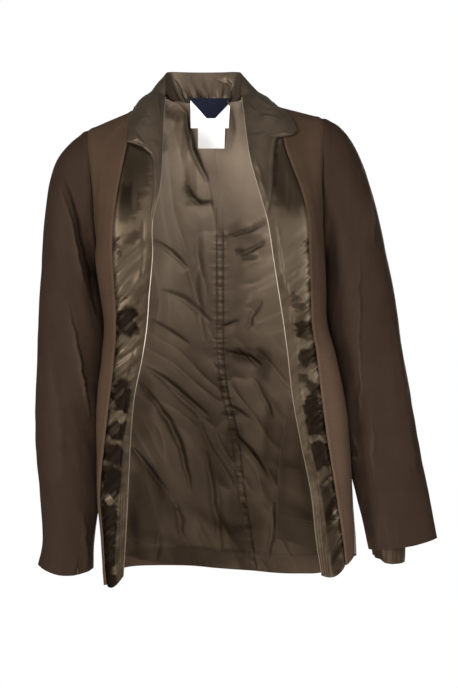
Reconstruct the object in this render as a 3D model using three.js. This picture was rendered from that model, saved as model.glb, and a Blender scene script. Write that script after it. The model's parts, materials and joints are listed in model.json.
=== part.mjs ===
// Open blazer, worn form, hollow. Millimetres, +Z up, -Y toward the viewer.
// The origin is the middle of the neck at the height of the shoulders.
import * as THREE from 'three';

// Cloth and seam sizes
const SHELL = 1.6;
const LINING = 1.2;
const SATIN = 1.6;
const LABEL = 1.0;
const LINING_INSET = 2.8;
const SEAM_TRIM = 0.2;
const LINING_TRIM = 1.2;
const LABEL_GAP = 0.6;
const BAND_HEM_DROP = 8.5;

// Grid sizes
const ARMHOLE_ROWS = 12;
const LOWER_ROWS = 11;
const ARMHOLE_LEVEL = 7;
const HEM_LEVEL = 15;
const RING_STEP = 15;
const BAND_SPLIT = 3;
const LINING_SPLIT = 2;

// Armholes: upright ellipses, given by the shoulder point, the underarm point and half depth
const ARMHOLES = {
  left: { top: [-167, -0.5, -23], bottom: [-150, 4.5, -205], depth: 57 },
  right: { top: [164.4, 0, -5.8], bottom: [163, 5, -195], depth: 57 },
};
const NECK_POINTS = { left: [-57.4, 5, 25], right: [50.5, 5, 24] };

// Share of the shoulder line reached by each guide
const SHOULDER_SHARES = { edge: 0, neck: 0, seam: 0.42, blade: 0.42, turn: 0.72, flank: 0.86 };

// Front guides by level: edge, puckered seam, turn of the body, flank, side seam
const FRONT_LEFT = [
  {},
  { edge: [-58.4, -30, -8], seam: [-107, -28, -14], turn: [-140, -22, -24], flank: [-154, -25, -28.5] },
  { edge: [-59, -55, -44], seam: [-108.3, -58, -48], turn: [-140, -50, -52], flank: [-153, -48.5, -55] },
  { edge: [-59.5, -75, -80], seam: [-113.5, -74, -80], turn: [-141, -66, -84], flank: [-151, -61, -89] },
  { edge: [-62.2, -88, -116], seam: [-120, -84, -117], turn: [-143, -74, -121], flank: [-150.5, -66, -127] },
  { edge: [-70, -95, -150], seam: [-124.5, -89, -150], turn: [-144, -77, -154], flank: [-150.5, -62, -162] },
  { edge: [-71.7, -99, -175], seam: [-126.5, -92, -178], turn: [-147, -74, -184], flank: [-152, -50, -191] },
  {
    edge: [-70.9, -100, -204], seam: [-126.5, -93, -207], turn: [-150, -72, -212],
    flank: [-150.6, -35, -211],
  },
  {
    edge: [-75.6, -100, -260], seam: [-123, -95, -260], turn: [-143, -72, -260],
    flank: [-142, -25, -260], side: [-137, 22, -260],
  },
  {
    edge: [-78.5, -100, -300], seam: [-121.5, -95, -300], turn: [-139, -72, -300],
    flank: [-138, -18, -300], side: [-136, 36, -300],
  },
  {
    edge: [-85, -100, -345], seam: [-123.5, -95, -345], turn: [-142, -72, -345],
    flank: [-139, -12, -345], side: [-135, 48, -345],
  },
  {
    edge: [-96, -100, -400], seam: [-130, -95, -400], turn: [-148.5, -72, -400],
    flank: [-144, -8, -400], side: [-136, 58, -400],
  },
  {
    edge: [-101, -100, -460], seam: [-136.6, -95, -460], turn: [-150.5, -72, -460],
    flank: [-146, -5, -460], side: [-136, 63, -460],
  },
  {
    edge: [-104.4, -100, -530], seam: [-142.8, -94, -530], turn: [-147, -70, -530],
    flank: [-142, 0, -530], side: [-133, 66, -530],
  },
  {
    edge: [-107.5, -100, -590], seam: [-138.5, -94, -592], turn: [-143, -68, -592],
    flank: [-139, 0, -590], side: [-130, 68, -588],
  },
  {
    edge: [-111, -100, -641], seam: [-135, -95, -654], turn: [-140, -66, -656],
    flank: [-137, 0, -657], side: [-128, 68, -655],
  },
];
const FRONT_RIGHT = [
  {},
  { edge: [54, -29, -8], seam: [106, -26, -8], turn: [137, -20, -12], flank: [151, -25, -15] },
  { edge: [57.8, -55, -44], seam: [109, -57, -48], turn: [140, -49, -47], flank: [152.5, -48, -45] },
  { edge: [63.5, -74, -79], seam: [119, -71, -80], turn: [144, -63, -80], flank: [155, -60, -80] },
  { edge: [73.5, -89, -116], seam: [132, -82, -116], turn: [150, -72, -118], flank: [159, -63, -120] },
  { edge: [83, -96, -150], seam: [140, -88, -150], turn: [155, -76, -153], flank: [162.5, -59, -156] },
  { edge: [87.8, -99, -175], seam: [142, -91, -176], turn: [159, -73, -180], flank: [165, -48, -183] },
  { edge: [92, -100, -204], seam: [142.3, -93, -205], turn: [163.5, -70, -205], flank: [164.6, -33, -202] },
  {
    edge: [100.7, -100, -260], seam: [144.5, -95, -260], turn: [164.5, -72, -260],
    flank: [166, -25, -260], side: [160, 22, -260],
  },
  {
    edge: [106.9, -100, -300], seam: [145.9, -95, -300], turn: [167, -72, -300],
    flank: [167, -18, -300], side: [160, 36, -300],
  },
  {
    edge: [112.8, -100, -345], seam: [152.6, -95, -345], turn: [179, -72, -345],
    flank: [177, -12, -345], side: [168, 48, -345],
  },
  {
    edge: [119, -100, -400], seam: [159, -95, -400], turn: [189.5, -72, -400],
    flank: [186, 0, -398], side: [133, 50, -400],
  },
  {
    edge: [130, -100, -460], seam: [167, -95, -460], turn: [196.5, -72, -460],
    flank: [192, 5, -455], side: [112.5, 55, -452],
  },
  {
    edge: [144, -100, -530], seam: [178.3, -94, -530], turn: [200, -68, -528],
    flank: [196, 8, -525], side: [105.5, 59, -515],
  },
  {
    edge: [150.5, -100, -590], seam: [187, -93, -586], turn: [205, -64, -578],
    flank: [199, 6, -578], side: [103, 60, -568],
  },
  {
    edge: [158.5, -100, -641], seam: [192, -92, -628], turn: [207, -62, -616],
    flank: [200, 4, -626], side: [101.2, 60, -607.5],
  },
];

// Back guides by level: centre seam, nape, neck side, shoulder blade, turn of the body
const BACK_CENTRE = [
  [5, 54, 25], [8, 74, 8], [11, 88, -25], [15, 97, -62], [18.5, 102, -103], [19.3, 105, -145],
  [19.3, 106, -178], [19.3, 107, -208], [19.5, 108, -260], [19.8, 108, -300], [20.3, 107, -345],
  [27, 106, -400], [41, 106, -460], [49.5, 107, -530], [58, 108, -590], [69, 108, -661],
];
const BACK_LEFT = [
  { nape: [-38, 42, 25] },
  { nape: [-28, 67, 9], neck: [-57, 48, 7], blade: [-104, 42, -6], turn: [-138, 34, -20] },
  { nape: [-25, 84, -25], neck: [-56, 75, -27], blade: [-106, 66, -35], turn: [-141, 56, -46] },
  { nape: [-22, 94, -62], neck: [-55, 90, -64], blade: [-108, 80, -70], turn: [-142, 68, -82] },
  { nape: [-20, 100, -103], neck: [-54, 98, -105], blade: [-110, 88, -109], turn: [-142, 74, -121] },
  { nape: [-18, 104, -145], neck: [-53, 102, -147], blade: [-111, 92, -150], turn: [-142, 74, -158] },
  { nape: [-18, 105.5, -178], neck: [-52, 104, -180], blade: [-111, 94, -184], turn: [-142, 70, -190] },
  { nape: [-18, 106, -208], neck: [-52, 105, -209], blade: [-111, 95, -213], turn: [-145, 62, -214] },
  { nape: [-18, 107, -260], neck: [-52, 106, -260], blade: [-107, 97, -260], turn: [-133, 68, -260] },
  { nape: [-18, 107, -300], neck: [-52, 106, -300], blade: [-105, 97, -300], turn: [-130, 74, -300] },
  { nape: [-17, 106, -345], neck: [-51, 105, -345], blade: [-103, 96, -345], turn: [-128, 78, -345] },
  { nape: [-12, 105, -400], neck: [-47, 104, -400], blade: [-100, 96, -400], turn: [-127, 82, -400] },
  { nape: [-4, 105, -460], neck: [-42, 104, -460], blade: [-98, 96, -460], turn: [-126, 84, -460] },
  { nape: [2, 106, -530], neck: [-38, 105, -530], blade: [-95, 97, -530], turn: [-123, 85, -530] },
  { nape: [7, 107, -590], neck: [-34, 106, -590], blade: [-92, 98, -590], turn: [-120, 86, -589] },
  { nape: [14, 107, -657], neck: [-30, 106, -653], blade: [-90, 98, -652], turn: [-118, 86, -653] },
];
const BACK_RIGHT = [
  { nape: [35, 42, 25] },
  { nape: [38, 67, 9], neck: [54, 48, 7], blade: [101, 42, 4], turn: [135, 34, -6] },
  { nape: [37, 84, -24], neck: [60, 77, -25], blade: [108, 66, -27], turn: [143, 56, -32] },
  { nape: [42, 94, -61], neck: [68, 90, -61], blade: [115, 80, -61], turn: [148, 68, -67] },
  { nape: [48, 100, -103], neck: [76, 97, -103], blade: [122, 88, -103], turn: [151, 74, -109] },
  { nape: [52, 103.5, -145], neck: [82, 101, -145], blade: [127, 92, -145], turn: [153, 74, -150] },
  { nape: [54, 105, -178], neck: [85, 103, -178], blade: [130, 93, -178], turn: [154, 70, -180] },
  { nape: [55, 106, -207], neck: [87, 104, -206], blade: [132, 94, -205], turn: [158, 62, -204] },
  { nape: [55, 107, -260], neck: [88, 105, -260], blade: [131, 96, -260], turn: [154, 68, -260] },
  { nape: [55, 107, -300], neck: [88, 105, -300], blade: [131, 96, -300], turn: [154, 74, -300] },
  { nape: [56, 106, -345], neck: [90, 104, -345], blade: [136, 96, -345], turn: [163, 76, -345] },
  {
    nape: [62, 105, -400], neck: [97, 103, -400], blade: [142, 96, -400],
    turn: [170, 82, -400], side: [181, 66, -400],
  },
  {
    nape: [74, 105, -460], neck: [109, 104, -460], blade: [150, 97, -460],
    turn: [176, 86, -460], side: [188, 70, -460],
  },
  {
    nape: [82, 106, -530], neck: [117, 105, -530], blade: [157, 98, -530],
    turn: [181, 88, -530], side: [193, 72, -530],
  },
  {
    nape: [90, 107, -590], neck: [124, 106, -590], blade: [163, 99, -590],
    turn: [186, 89, -590], side: [198, 73, -590],
  },
  {
    nape: [101, 107, -664], neck: [134, 106, -665], blade: [170, 100, -662],
    turn: [190, 90, -645], side: [202, 74, -634],
  },
];
const VENT_LEVEL = 10;

// Sleeve rings from armhole to cuff: outer line, inner line, half depth, dip of front and back
const SLEEVE_LEFT = [
  { outer: [-167, -0.5, -23], inner: [-150, 4.5, -205], depth: 57, dip: 0 },
  { outer: [-192.7, -0.5, -42.7], inner: [-152.8, 5, -211], depth: 56.5, dip: 0 },
  { outer: [-212.9, -1, -69.6], inner: [-154.8, 4, -219], depth: 55, dip: 0 },
  { outer: [-223.5, -2, -112], inner: [-154, 3, -232], depth: 52.5, dip: 0 },
  { outer: [-228.6, -4, -165], inner: [-150.5, 1, -252], depth: 50, dip: 0 },
  { outer: [-232, -5, -225], inner: [-145.5, 0, -280], depth: 47.5, dip: 0 },
  { outer: [-235.2, -6, -270], inner: [-142, -1, -305], depth: 46, dip: 0 },
  { outer: [-238, -7, -325], inner: [-143, -2, -345], depth: 45, dip: 0 },
  { outer: [-239.7, -8, -383], inner: [-148, -4, -393], depth: 43.5, dip: 0 },
  { outer: [-240, -9, -440], inner: [-150.5, -6, -445], depth: 42, dip: 0 },
  { outer: [-238.5, -10, -490], inner: [-150, -8, -492], depth: 40.5, dip: 0 },
  { outer: [-235, -10, -535], inner: [-149.5, -9, -536], depth: 39, dip: 0 },
  { outer: [-231.5, -11, -575], inner: [-153.5, -10, -574], depth: 37.5, dip: 1 },
  { outer: [-231, -11, -609], inner: [-157.5, -10, -610], depth: 36, dip: 4 },
  { outer: [-236, -11, -637], inner: [-158.5, -10, -642], depth: 36, dip: 9 },
];
const SLEEVE_RIGHT = [
  { outer: [164.4, 0, -5.8], inner: [163, 5, -195], depth: 57, dip: 0 },
  { outer: [189.6, -0.5, -19.3], inner: [166.4, 5, -201], depth: 56.5, dip: 0 },
  { outer: [212, -1, -49], inner: [168.4, 4, -209], depth: 55, dip: 0 },
  { outer: [231, -2, -99], inner: [168.8, 3, -222], depth: 52.5, dip: 0 },
  { outer: [244, -4, -151], inner: [169.2, 1, -243], depth: 50, dip: 0 },
  { outer: [256, -5, -208], inner: [169.6, 0, -272], depth: 47.5, dip: 0 },
  { outer: [267, -6, -260], inner: [171.5, -1, -300], depth: 46, dip: 0 },
  { outer: [275.5, -7, -317.5], inner: [181.5, -2, -342], depth: 45, dip: 0 },
  { outer: [284, -8, -372], inner: [191, -4, -390], depth: 43.5, dip: 0 },
  { outer: [294, -9, -433], inner: [196, -6, -442], depth: 42, dip: 0 },
  { outer: [305, -10, -487], inner: [202, -8, -495], depth: 40, dip: 0 },
  { outer: [315, -10, -537], inner: [212, -9, -538], depth: 37, dip: 0 },
  { outer: [322, -11, -573], inner: [221, -10, -577], depth: 34, dip: 1 },
  { outer: [326.6, -11, -598.4], inner: [229.5, -10, -615], depth: 31, dip: 3 },
];
const TOP_SLEEVE = { from: -105, to: 120 };
const UNDER_SLEEVE = { from: 120, to: 255 };

// Largest folds of the sleeves: place round the ring in degrees, span by ring, depth, width
const SLEEVE_FOLDS = {
  left: [
    { around: 42, lean: 5, from: 2.4, to: 8, depth: -7, width: 13 },
    { around: 20, lean: 0, from: 3.5, to: 11, depth: 3, width: 16 },
    { around: 95, lean: -3, from: 4, to: 12, depth: 3, width: 15 },
    { around: -60, lean: 4, from: 3, to: 9, depth: -5, width: 15 },
  ],
  right: [
    { around: 62, lean: -2, from: 4, to: 11, depth: 4, width: 13 },
    { around: 36, lean: 3, from: 3, to: 9, depth: -4, width: 13 },
    { around: -55, lean: -4, from: 3, to: 9, depth: -5, width: 15 },
  ],
};

// Standing folds of the back lining, inward from the cloth: place, slant, length, height, width
const LINING_FOLDS = [
  { x: -34, z: -25, slant: 78, length: 70, height: 5, width: 9 },
  { x: -20, z: -100, slant: -30, length: 60, height: 5, width: 9 },
  { x: -52, z: -190, slant: -45, length: 75, height: 6, width: 11 },
  { x: -47, z: -395, slant: -38, length: 120, height: 7, width: 12 },
  { x: -60, z: -480, slant: -55, length: 90, height: 6, width: 12 },
  { x: -20, z: -560, slant: -80, length: 110, height: 5, width: 13 },
  { x: 45, z: -165, slant: -50, length: 70, height: 6, width: 10 },
  { x: 58, z: -340, slant: -25, length: 60, height: 5, width: 10 },
  { x: 62, z: -440, slant: -35, length: 70, height: 5, width: 10 },
  { x: 96, z: -250, slant: 70, length: 110, height: 5, width: 12 },
];

// Collar and turned strip along each front: level, reach across the front, rise off it
const LAPEL_LEFT = [
  { level: 5.3, reach: 0.03, rise: 0 },
  { level: 5, reach: 0.09, rise: 0.4 },
  { level: 4, reach: 0.13, rise: 0.9 },
  { level: 2.9, reach: 0.22, rise: 1.6 },
  { level: 2.6, reach: 0.3, rise: 2.2 },
  { level: 2.3, reach: 0.51, rise: 3 },
  { level: 2.12, reach: 0.78, rise: 3.4 },
  { level: 2, reach: 1.02, rise: 3.8 },
  { level: 1, reach: 1, rise: 7 },
  { level: 0, reach: 0.95, rise: 10 },
];
const LAPEL_RIGHT = [
  { level: 0, reach: 0.95, rise: 10 },
  { level: 0.6, reach: 1.12, rise: 8 },
  { level: 1.3, reach: 1.48, rise: 6 },
  { level: 1.55, reach: 1.57, rise: 5 },
  { level: 1.72, reach: 1.35, rise: 4.6 },
  { level: 1.84, reach: 0.8, rise: 4.2 },
  { level: 2.4, reach: 0.64, rise: 3.2 },
  { level: 3.2, reach: 0.46, rise: 2.4 },
  { level: 4.4, reach: 0.2, rise: 1 },
  { level: 4.93, reach: 0.05, rise: 0.2 },
];
const COLLAR_LIFT = 1.6;

// Collar round the neck, left neck point to right: crest, leaf edge, swell
const NECK_RING = [
  { crest: [-57.4, 5, 26.6], leaf: [-101, 3, 7.3], swell: 10 },
  { crest: [-58.8, 13, 45], leaf: [-96, 20, 10], swell: 4 },
  { crest: [-57.5, 24, 60], leaf: [-84, 42, 12], swell: 4 },
  { crest: [-50, 34, 64], leaf: [-64, 60, 15], swell: 6 },
  { crest: [-29, 41, 64.5], leaf: [-34, 70, 18], swell: 7 },
  { crest: [-3, 43, 64.5], leaf: [-3, 75, 19], swell: 7 },
  { crest: [22, 41, 64.5], leaf: [28, 70, 19], swell: 7 },
  { crest: [42, 34, 64], leaf: [58, 60, 17], swell: 6 },
  { crest: [50, 24, 60], leaf: [80, 42, 16], swell: 4 },
  { crest: [51.5, 13, 45], leaf: [91, 20, 15], swell: 5 },
  { crest: [50.5, 5, 25.6], leaf: [96, 3, 13.5], swell: 10 },
];
const STAND_FROM = 0.45;
const STAND_STEPS = 36;
const STAND_GATHERS = 17;
const GATHER_HEIGHT = 0.8;

// Puckers along the seam of each satin band
const PUCKERS = 42;
const PUCKER_HEIGHT = 1.8;
const PUCKER_FROM = 7;
const PUCKER_TO = 14.2;

// Right sleeve lining, sewn in at one ring of the sleeve and hanging below the cuff
const CUFF_LINING_RING = 11;
const CUFF_LINING_INSET = 1.95;
const CUFF_LINING = [
  { outer: [303, -10, -560], inner: [223, -10, -568], depth: 27.5, dip: 1 },
  { outer: [284, -11, -598], inner: [232, -10, -598], depth: 24, dip: 2 },
  { outer: [279, -11, -634], inner: [236, -10, -624], depth: 23, dip: 4 },
];

// Labels: level and reach (negative to the left of the centre seam) of each corner
const NECK_LABEL = { top: 0.12, bottom: 1.55, left: [-0.7, -0.12], right: [0.98, 0.22], over: 1.9 };
const CARE_LABEL = { top: 0.3, bottom: 2.5, left: [-0.62, -0.6], right: [0.86, 0.72], over: 0 };

// Cloth colours and finish
const FINISHES = {
  shell: { color: 0x4a3a30, roughness: 0.82 },
  satin: { color: 0x6c6250, roughness: 0.34 },
  lining: { color: 0x625746, roughness: 0.42 },
  navy: { color: 0x1b1d2b, roughness: 0.7 },
  white: { color: 0xe9e7e2, roughness: 0.75 },
};

const vec = (list) => new THREE.Vector3(list[0], list[1], list[2]);
const mix = (a, b, t) => a.clone().lerp(b, t);
const clamp = (x, low, high) => Math.min(high, Math.max(low, x));
const smooth = (low, high, x) => {
  const t = clamp((x - low) / (high - low), 0, 1);
  return t * t * (3 - 2 * t);
};
const radians = (degrees) => (degrees * Math.PI) / 180;
const steps = (from, to, count) =>
  Array.from({ length: count + 1 }, (_, k) => from + ((to - from) * k) / count);

// Cubic between two points with given tangents
function hermite(p0, m0, p1, m1, t) {
  const t2 = t * t;
  const t3 = t2 * t;
  return p0
    .clone()
    .multiplyScalar(2 * t3 - 3 * t2 + 1)
    .addScaledVector(m0, t3 - 2 * t2 + t)
    .addScaledVector(p1, 3 * t2 - 2 * t3)
    .addScaledVector(m1, t3 - t2);
}

// Smooth curve through points; at the index `corner` the tangents are one-sided by `sharp`
function through(points, u, corner = -1, sharp = 0) {
  const last = points.length - 1;
  const i = clamp(Math.floor(u), 0, last - 1);
  const tangent = (j, own) => {
    if (j === 0 || j === last) return own.clone();
    const central = points[j + 1].clone().sub(points[j - 1]).multiplyScalar(0.5);
    return j === corner ? central.lerp(own, sharp) : central;
  };
  const step = points[i + 1].clone().sub(points[i]);
  return hermite(points[i], tangent(i, step), points[i + 1], tangent(i + 1, step), u - i);
}

// Smooth value of one guide column of a table at a level
function along(rows, name, level, first = 0) {
  const points = rows.slice(first).map((row) => vec(row[name]));
  return through(points, level - first);
}

// Smooth number in a table column, by the table's own key
function tabled(rows, key, name, x) {
  const sorted = [...rows].sort((a, b) => a[key] - b[key]);
  const i = clamp(sorted.findIndex((row) => row[key] >= x), 1, sorted.length - 1);
  const [a, b] = [sorted[i - 1], sorted[i]];
  return a[name] + (b[name] - a[name]) * clamp((x - a[key]) / (b[key] - a[key]), 0, 1);
}

// Point on an armhole; 0 degrees is the shoulder, 90 the front, 180 the underarm
function armhole(side, degrees) {
  const { top, bottom, depth } = ARMHOLES[side];
  const a = radians(degrees);
  const centre = mix(vec(top), vec(bottom), 0.5);
  const up = vec(top).sub(centre);
  return centre.addScaledVector(up, Math.cos(a)).add(new THREE.Vector3(0, -depth * Math.sin(a), 0));
}

const outwardX = (side) => (side === 'left' ? -1 : 1);
const armholeDegrees = (level) => (180 * clamp(level, 0, ARMHOLE_LEVEL)) / ARMHOLE_LEVEL;

// Direction across the armhole edge in its own plane
function armholeRadial(side, degrees) {
  const a = radians(degrees);
  return new THREE.Vector3(0, -Math.sin(a) / ARMHOLES[side].depth, Math.cos(a) / 92).normalize();
}

function shoulderPoint(side, share) {
  return mix(vec(NECK_POINTS[side]), vec(ARMHOLES[side].top), share);
}

function shoulderNormal(side) {
  const line = shoulderPoint(side, 1).sub(shoulderPoint(side, 0)).normalize();
  const up = new THREE.Vector3(0, 0, 1);
  return up.addScaledVector(line, -up.dot(line)).normalize();
}

// One cut panel of the body as a smooth surface over reach and level
class Panel {
  constructor(side, face, rows, names) {
    this.side = side;
    this.face = face;
    this.names = names;
    this.rows = rows.map((row, level) => this.complete(row, level));
    this.sign = (side === 'left') === (face === 'front') ? 1 : -1;
    this.corner = face === 'back' ? names.indexOf('neck') : -1;
  }

  complete(row, level) {
    const full = { ...row };
    if (this.face === 'back') full.centre = BACK_CENTRE[level];
    if (level === 0) {
      for (const name of this.names) {
        if (name in SHOULDER_SHARES) full[name] = shoulderPoint(this.side, SHOULDER_SHARES[name]).toArray();
      }
    }
    return full;
  }

  sideEdge(level) {
    const turn = this.face === 'front' ? 1 : -1;
    if (level <= ARMHOLE_LEVEL) return armhole(this.side, turn * armholeDegrees(level));
    const rows = this.rows.map((row) => row.side ?? null);
    const points = [armhole(this.side, 180)];
    for (let j = ARMHOLE_LEVEL + 1; j < rows.length; j += 1) points.push(vec(rows[j]));
    return through(points, level - ARMHOLE_LEVEL);
  }

  point(reach, level) {
    const guides = this.names.map((name) =>
      name === 'side' ? this.sideEdge(level) : along(this.rows, name, level));
    const at = through(guides, reach, this.corner, 1 - smooth(0, 1, level));
    const drops = this.face === 'front' && reach < 1;
    if (drops) at.z -= BAND_HEM_DROP * Math.sin(Math.PI * reach) * smooth(HEM_LEVEL - 1, HEM_LEVEL, level);
    return at;
  }

  ownNormal(reach, level) {
    const step = 0.03;
    const last = this.names.length - 1;
    const r0 = clamp(reach - step, 0, last);
    const r1 = clamp(reach + step, 0, last);
    const l0 = clamp(level - step, 0, HEM_LEVEL);
    const l1 = clamp(level + step, 0, HEM_LEVEL);
    const across = this.point(r1, level).sub(this.point(r0, level));
    const down = this.point(reach, l1).sub(this.point(reach, l0));
    return across.cross(down).normalize().multiplyScalar(this.sign);
  }

  normal(reach, level) {
    const own = this.ownNormal(reach, level);
    const last = this.names.length - 1;
    if (level === 0 && (this.face === 'front' || reach > 0)) {
      const share = this.face === 'back' ? smooth(this.corner - 1, this.corner, reach) : 1;
      return own.lerp(shoulderNormal(this.side), share).normalize();
    }
    if (reach === last && level <= ARMHOLE_LEVEL) {
      const degrees = armholeDegrees(level);
      const turn = this.face === 'front' ? 1 : -1;
      const flat = new THREE.Vector3(outwardX(this.side), 0, 0);
      const radial = armholeRadial(this.side, turn * degrees);
      return radial.lerp(flat, smooth(110, 165, degrees)).normalize();
    }
    if (reach === last && this.partner && level <= this.partnerTo) {
      return own.add(this.partner.ownNormal(this.partner.names.length - 1, level)).normalize();
    }
    if (reach === 0 && this.centrePartner) {
      return own.add(this.centrePartner.ownNormal(0, level)).normalize();
    }
    return own;
  }
}

const BACK_REACHES = [0, 1, 2, 2.5, 3, 3.5, 4, 4.5, 5];
const FRONT_LINING_REACHES = [0, 0.5, 1, 1.5, 2, 2.34, 2.67, 3, 3.5, 4];
const FRONT_NAMES = ['edge', 'seam', 'turn', 'flank', 'side'];
const BACK_NAMES = ['centre', 'nape', 'neck', 'blade', 'turn', 'side'];

// The closed side seam is shared: the back takes the front's side column down to the vent
function withSide(rows, frontRows, closedTo) {
  const shared = (j) => j <= closedTo && frontRows[j].side;
  return rows.map((row, j) => (shared(j) ? { ...row, side: frontRows[j].side } : row));
}

const frontLeft = new Panel('left', 'front', FRONT_LEFT, FRONT_NAMES);
const frontRight = new Panel('right', 'front', FRONT_RIGHT, FRONT_NAMES);
const backLeft = new Panel('left', 'back', withSide(BACK_LEFT, FRONT_LEFT, HEM_LEVEL), BACK_NAMES);
const backRight = new Panel('right', 'back', withSide(BACK_RIGHT, FRONT_RIGHT, VENT_LEVEL), BACK_NAMES);
const SIDE_SEAMS = [
  [frontLeft, backLeft, HEM_LEVEL],
  [frontRight, backRight, VENT_LEVEL - 0.5],
];
for (const [front, back, to] of SIDE_SEAMS) {
  front.partner = back;
  back.partner = front;
  front.partnerTo = to;
  back.partnerTo = to;
}
backLeft.centrePartner = backRight;
backRight.centrePartner = backLeft;

// Levels of the grid rows, shared by every body panel
const LEVELS = [];
for (let j = 0; j <= ARMHOLE_ROWS; j += 1) LEVELS.push((ARMHOLE_LEVEL * j) / ARMHOLE_ROWS);
for (let j = 1; j <= LOWER_ROWS; j += 1) {
  LEVELS.push(ARMHOLE_LEVEL + ((HEM_LEVEL - ARMHOLE_LEVEL) * j) / LOWER_ROWS);
}

// Grid of points and normals on a panel between two reaches
function panelGrid(panel, reaches, levels = LEVELS) {
  return levels.map((level) =>
    reaches.map((reach) => ({ point: panel.point(reach, level), normal: panel.normal(reach, level) })));
}

// Cell on the flat facets of a grid, by row and column
function onGrid(grid, row, column) {
  const r = clamp(Math.floor(row), 0, grid.length - 2);
  const c = clamp(Math.floor(column), 0, grid[0].length - 2);
  const blend = (key) => {
    const upper = mix(grid[r][c][key], grid[r][c + 1][key], column - c);
    const lower = mix(grid[r + 1][c][key], grid[r + 1][c + 1][key], column - c);
    return mix(upper, lower, row - r);
  };
  return { point: blend('point'), normal: blend('normal').normalize() };
}

// Finer grid lying on the flat facets of a coarse one
function refine(grid, down, across) {
  const rows = steps(0, grid.length - 1, (grid.length - 1) * down);
  const columns = steps(0, grid[0].length - 1, (grid[0].length - 1) * across);
  return rows.map((row) => columns.map((column) => onGrid(grid, row, column)));
}

// Pull the four borders in by half a seam gap
function trimmed(grid, trim = SEAM_TRIM) {
  const rows = grid.length - 1;
  const columns = grid[0].length - 1;
  const pull = (from, to) => to.point.clone().sub(from.point).normalize().multiplyScalar(trim);
  return grid.map((row, j) =>
    row.map((cell, i) => {
      const point = cell.point.clone();
      if (j === 0) point.add(pull(cell, grid[1][i]));
      if (j === rows) point.add(pull(cell, grid[rows - 1][i]));
      if (i === 0) point.add(pull(cell, grid[j][1]));
      if (i === columns) point.add(pull(cell, grid[j][columns - 1]));
      return { point, normal: cell.normal };
    }));
}

// Closed wall of cloth between two offsets of a grid
function wall(name, grid, outerOffset, thickness, finish) {
  const rows = grid.length;
  const columns = grid[0].length;
  const offset = (cell, j, i) => (typeof outerOffset === 'function' ? outerOffset(cell, j, i) : outerOffset);
  const positions = [];
  for (const layer of [0, thickness]) {
    grid.forEach((row, j) =>
      row.forEach((cell, i) => {
        const at = cell.point.clone().addScaledVector(cell.normal, offset(cell, j, i) - layer);
        positions.push(at.x, at.y, at.z);
      }));
  }
  const index = [];
  const at = (layer, j, i) => layer * rows * columns + j * columns + i;
  const quad = (a, b, c, d) => index.push(a, b, c, a, c, d);
  for (let j = 0; j < rows - 1; j += 1) {
    for (let i = 0; i < columns - 1; i += 1) {
      quad(at(0, j, i), at(0, j + 1, i), at(0, j + 1, i + 1), at(0, j, i + 1));
      quad(at(1, j, i), at(1, j, i + 1), at(1, j + 1, i + 1), at(1, j + 1, i));
    }
  }
  for (let i = 0; i < columns - 1; i += 1) {
    quad(at(0, 0, i), at(0, 0, i + 1), at(1, 0, i + 1), at(1, 0, i));
    quad(at(0, rows - 1, i + 1), at(0, rows - 1, i), at(1, rows - 1, i), at(1, rows - 1, i + 1));
  }
  for (let j = 0; j < rows - 1; j += 1) {
    quad(at(0, j + 1, 0), at(0, j, 0), at(1, j, 0), at(1, j + 1, 0));
    quad(at(0, j, columns - 1), at(0, j + 1, columns - 1), at(1, j + 1, columns - 1), at(1, j, columns - 1));
  }
  return solid(name, positions, index, finish);
}

// Mesh with its faces turned outward
function solid(name, positions, index, finish) {
  const corner = (k) => new THREE.Vector3(positions[3 * k], positions[3 * k + 1], positions[3 * k + 2]);
  let volume = 0;
  for (let k = 0; k < index.length; k += 3) {
    volume += corner(index[k]).dot(corner(index[k + 1]).cross(corner(index[k + 2])));
  }
  if (volume < 0) {
    for (let k = 0; k < index.length; k += 3) [index[k + 1], index[k + 2]] = [index[k + 2], index[k + 1]];
  }
  const geometry = new THREE.BufferGeometry();
  geometry.setAttribute('position', new THREE.Float32BufferAttribute(positions, 3));
  geometry.setIndex(index);
  geometry.computeVertexNormals();
  const { color, roughness } = FINISHES[finish];
  const material = new THREE.MeshStandardMaterial({ color, roughness, metalness: 0 });
  const mesh = new THREE.Mesh(geometry, material);
  mesh.name = name;
  return mesh;
}

// Height of one standing fold at a point of the back
function foldHeight(fold, x, z) {
  const a = radians(fold.slant);
  const run = (x - fold.x) * Math.cos(a) + (z - fold.z) * Math.sin(a);
  const off = -(x - fold.x) * Math.sin(a) + (z - fold.z) * Math.cos(a);
  const fade = 1 - smooth(0.35, 1, Math.abs(run) / (fold.length / 2));
  return fold.height * fade * Math.exp(-((off / fold.width) ** 2));
}

function liningOffset(cell) {
  const { x, z } = cell.point;
  const heights = LINING_FOLDS.map((fold) => foldHeight(fold, x, z));
  return -LINING_INSET - Math.max(0, ...heights);
}

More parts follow.
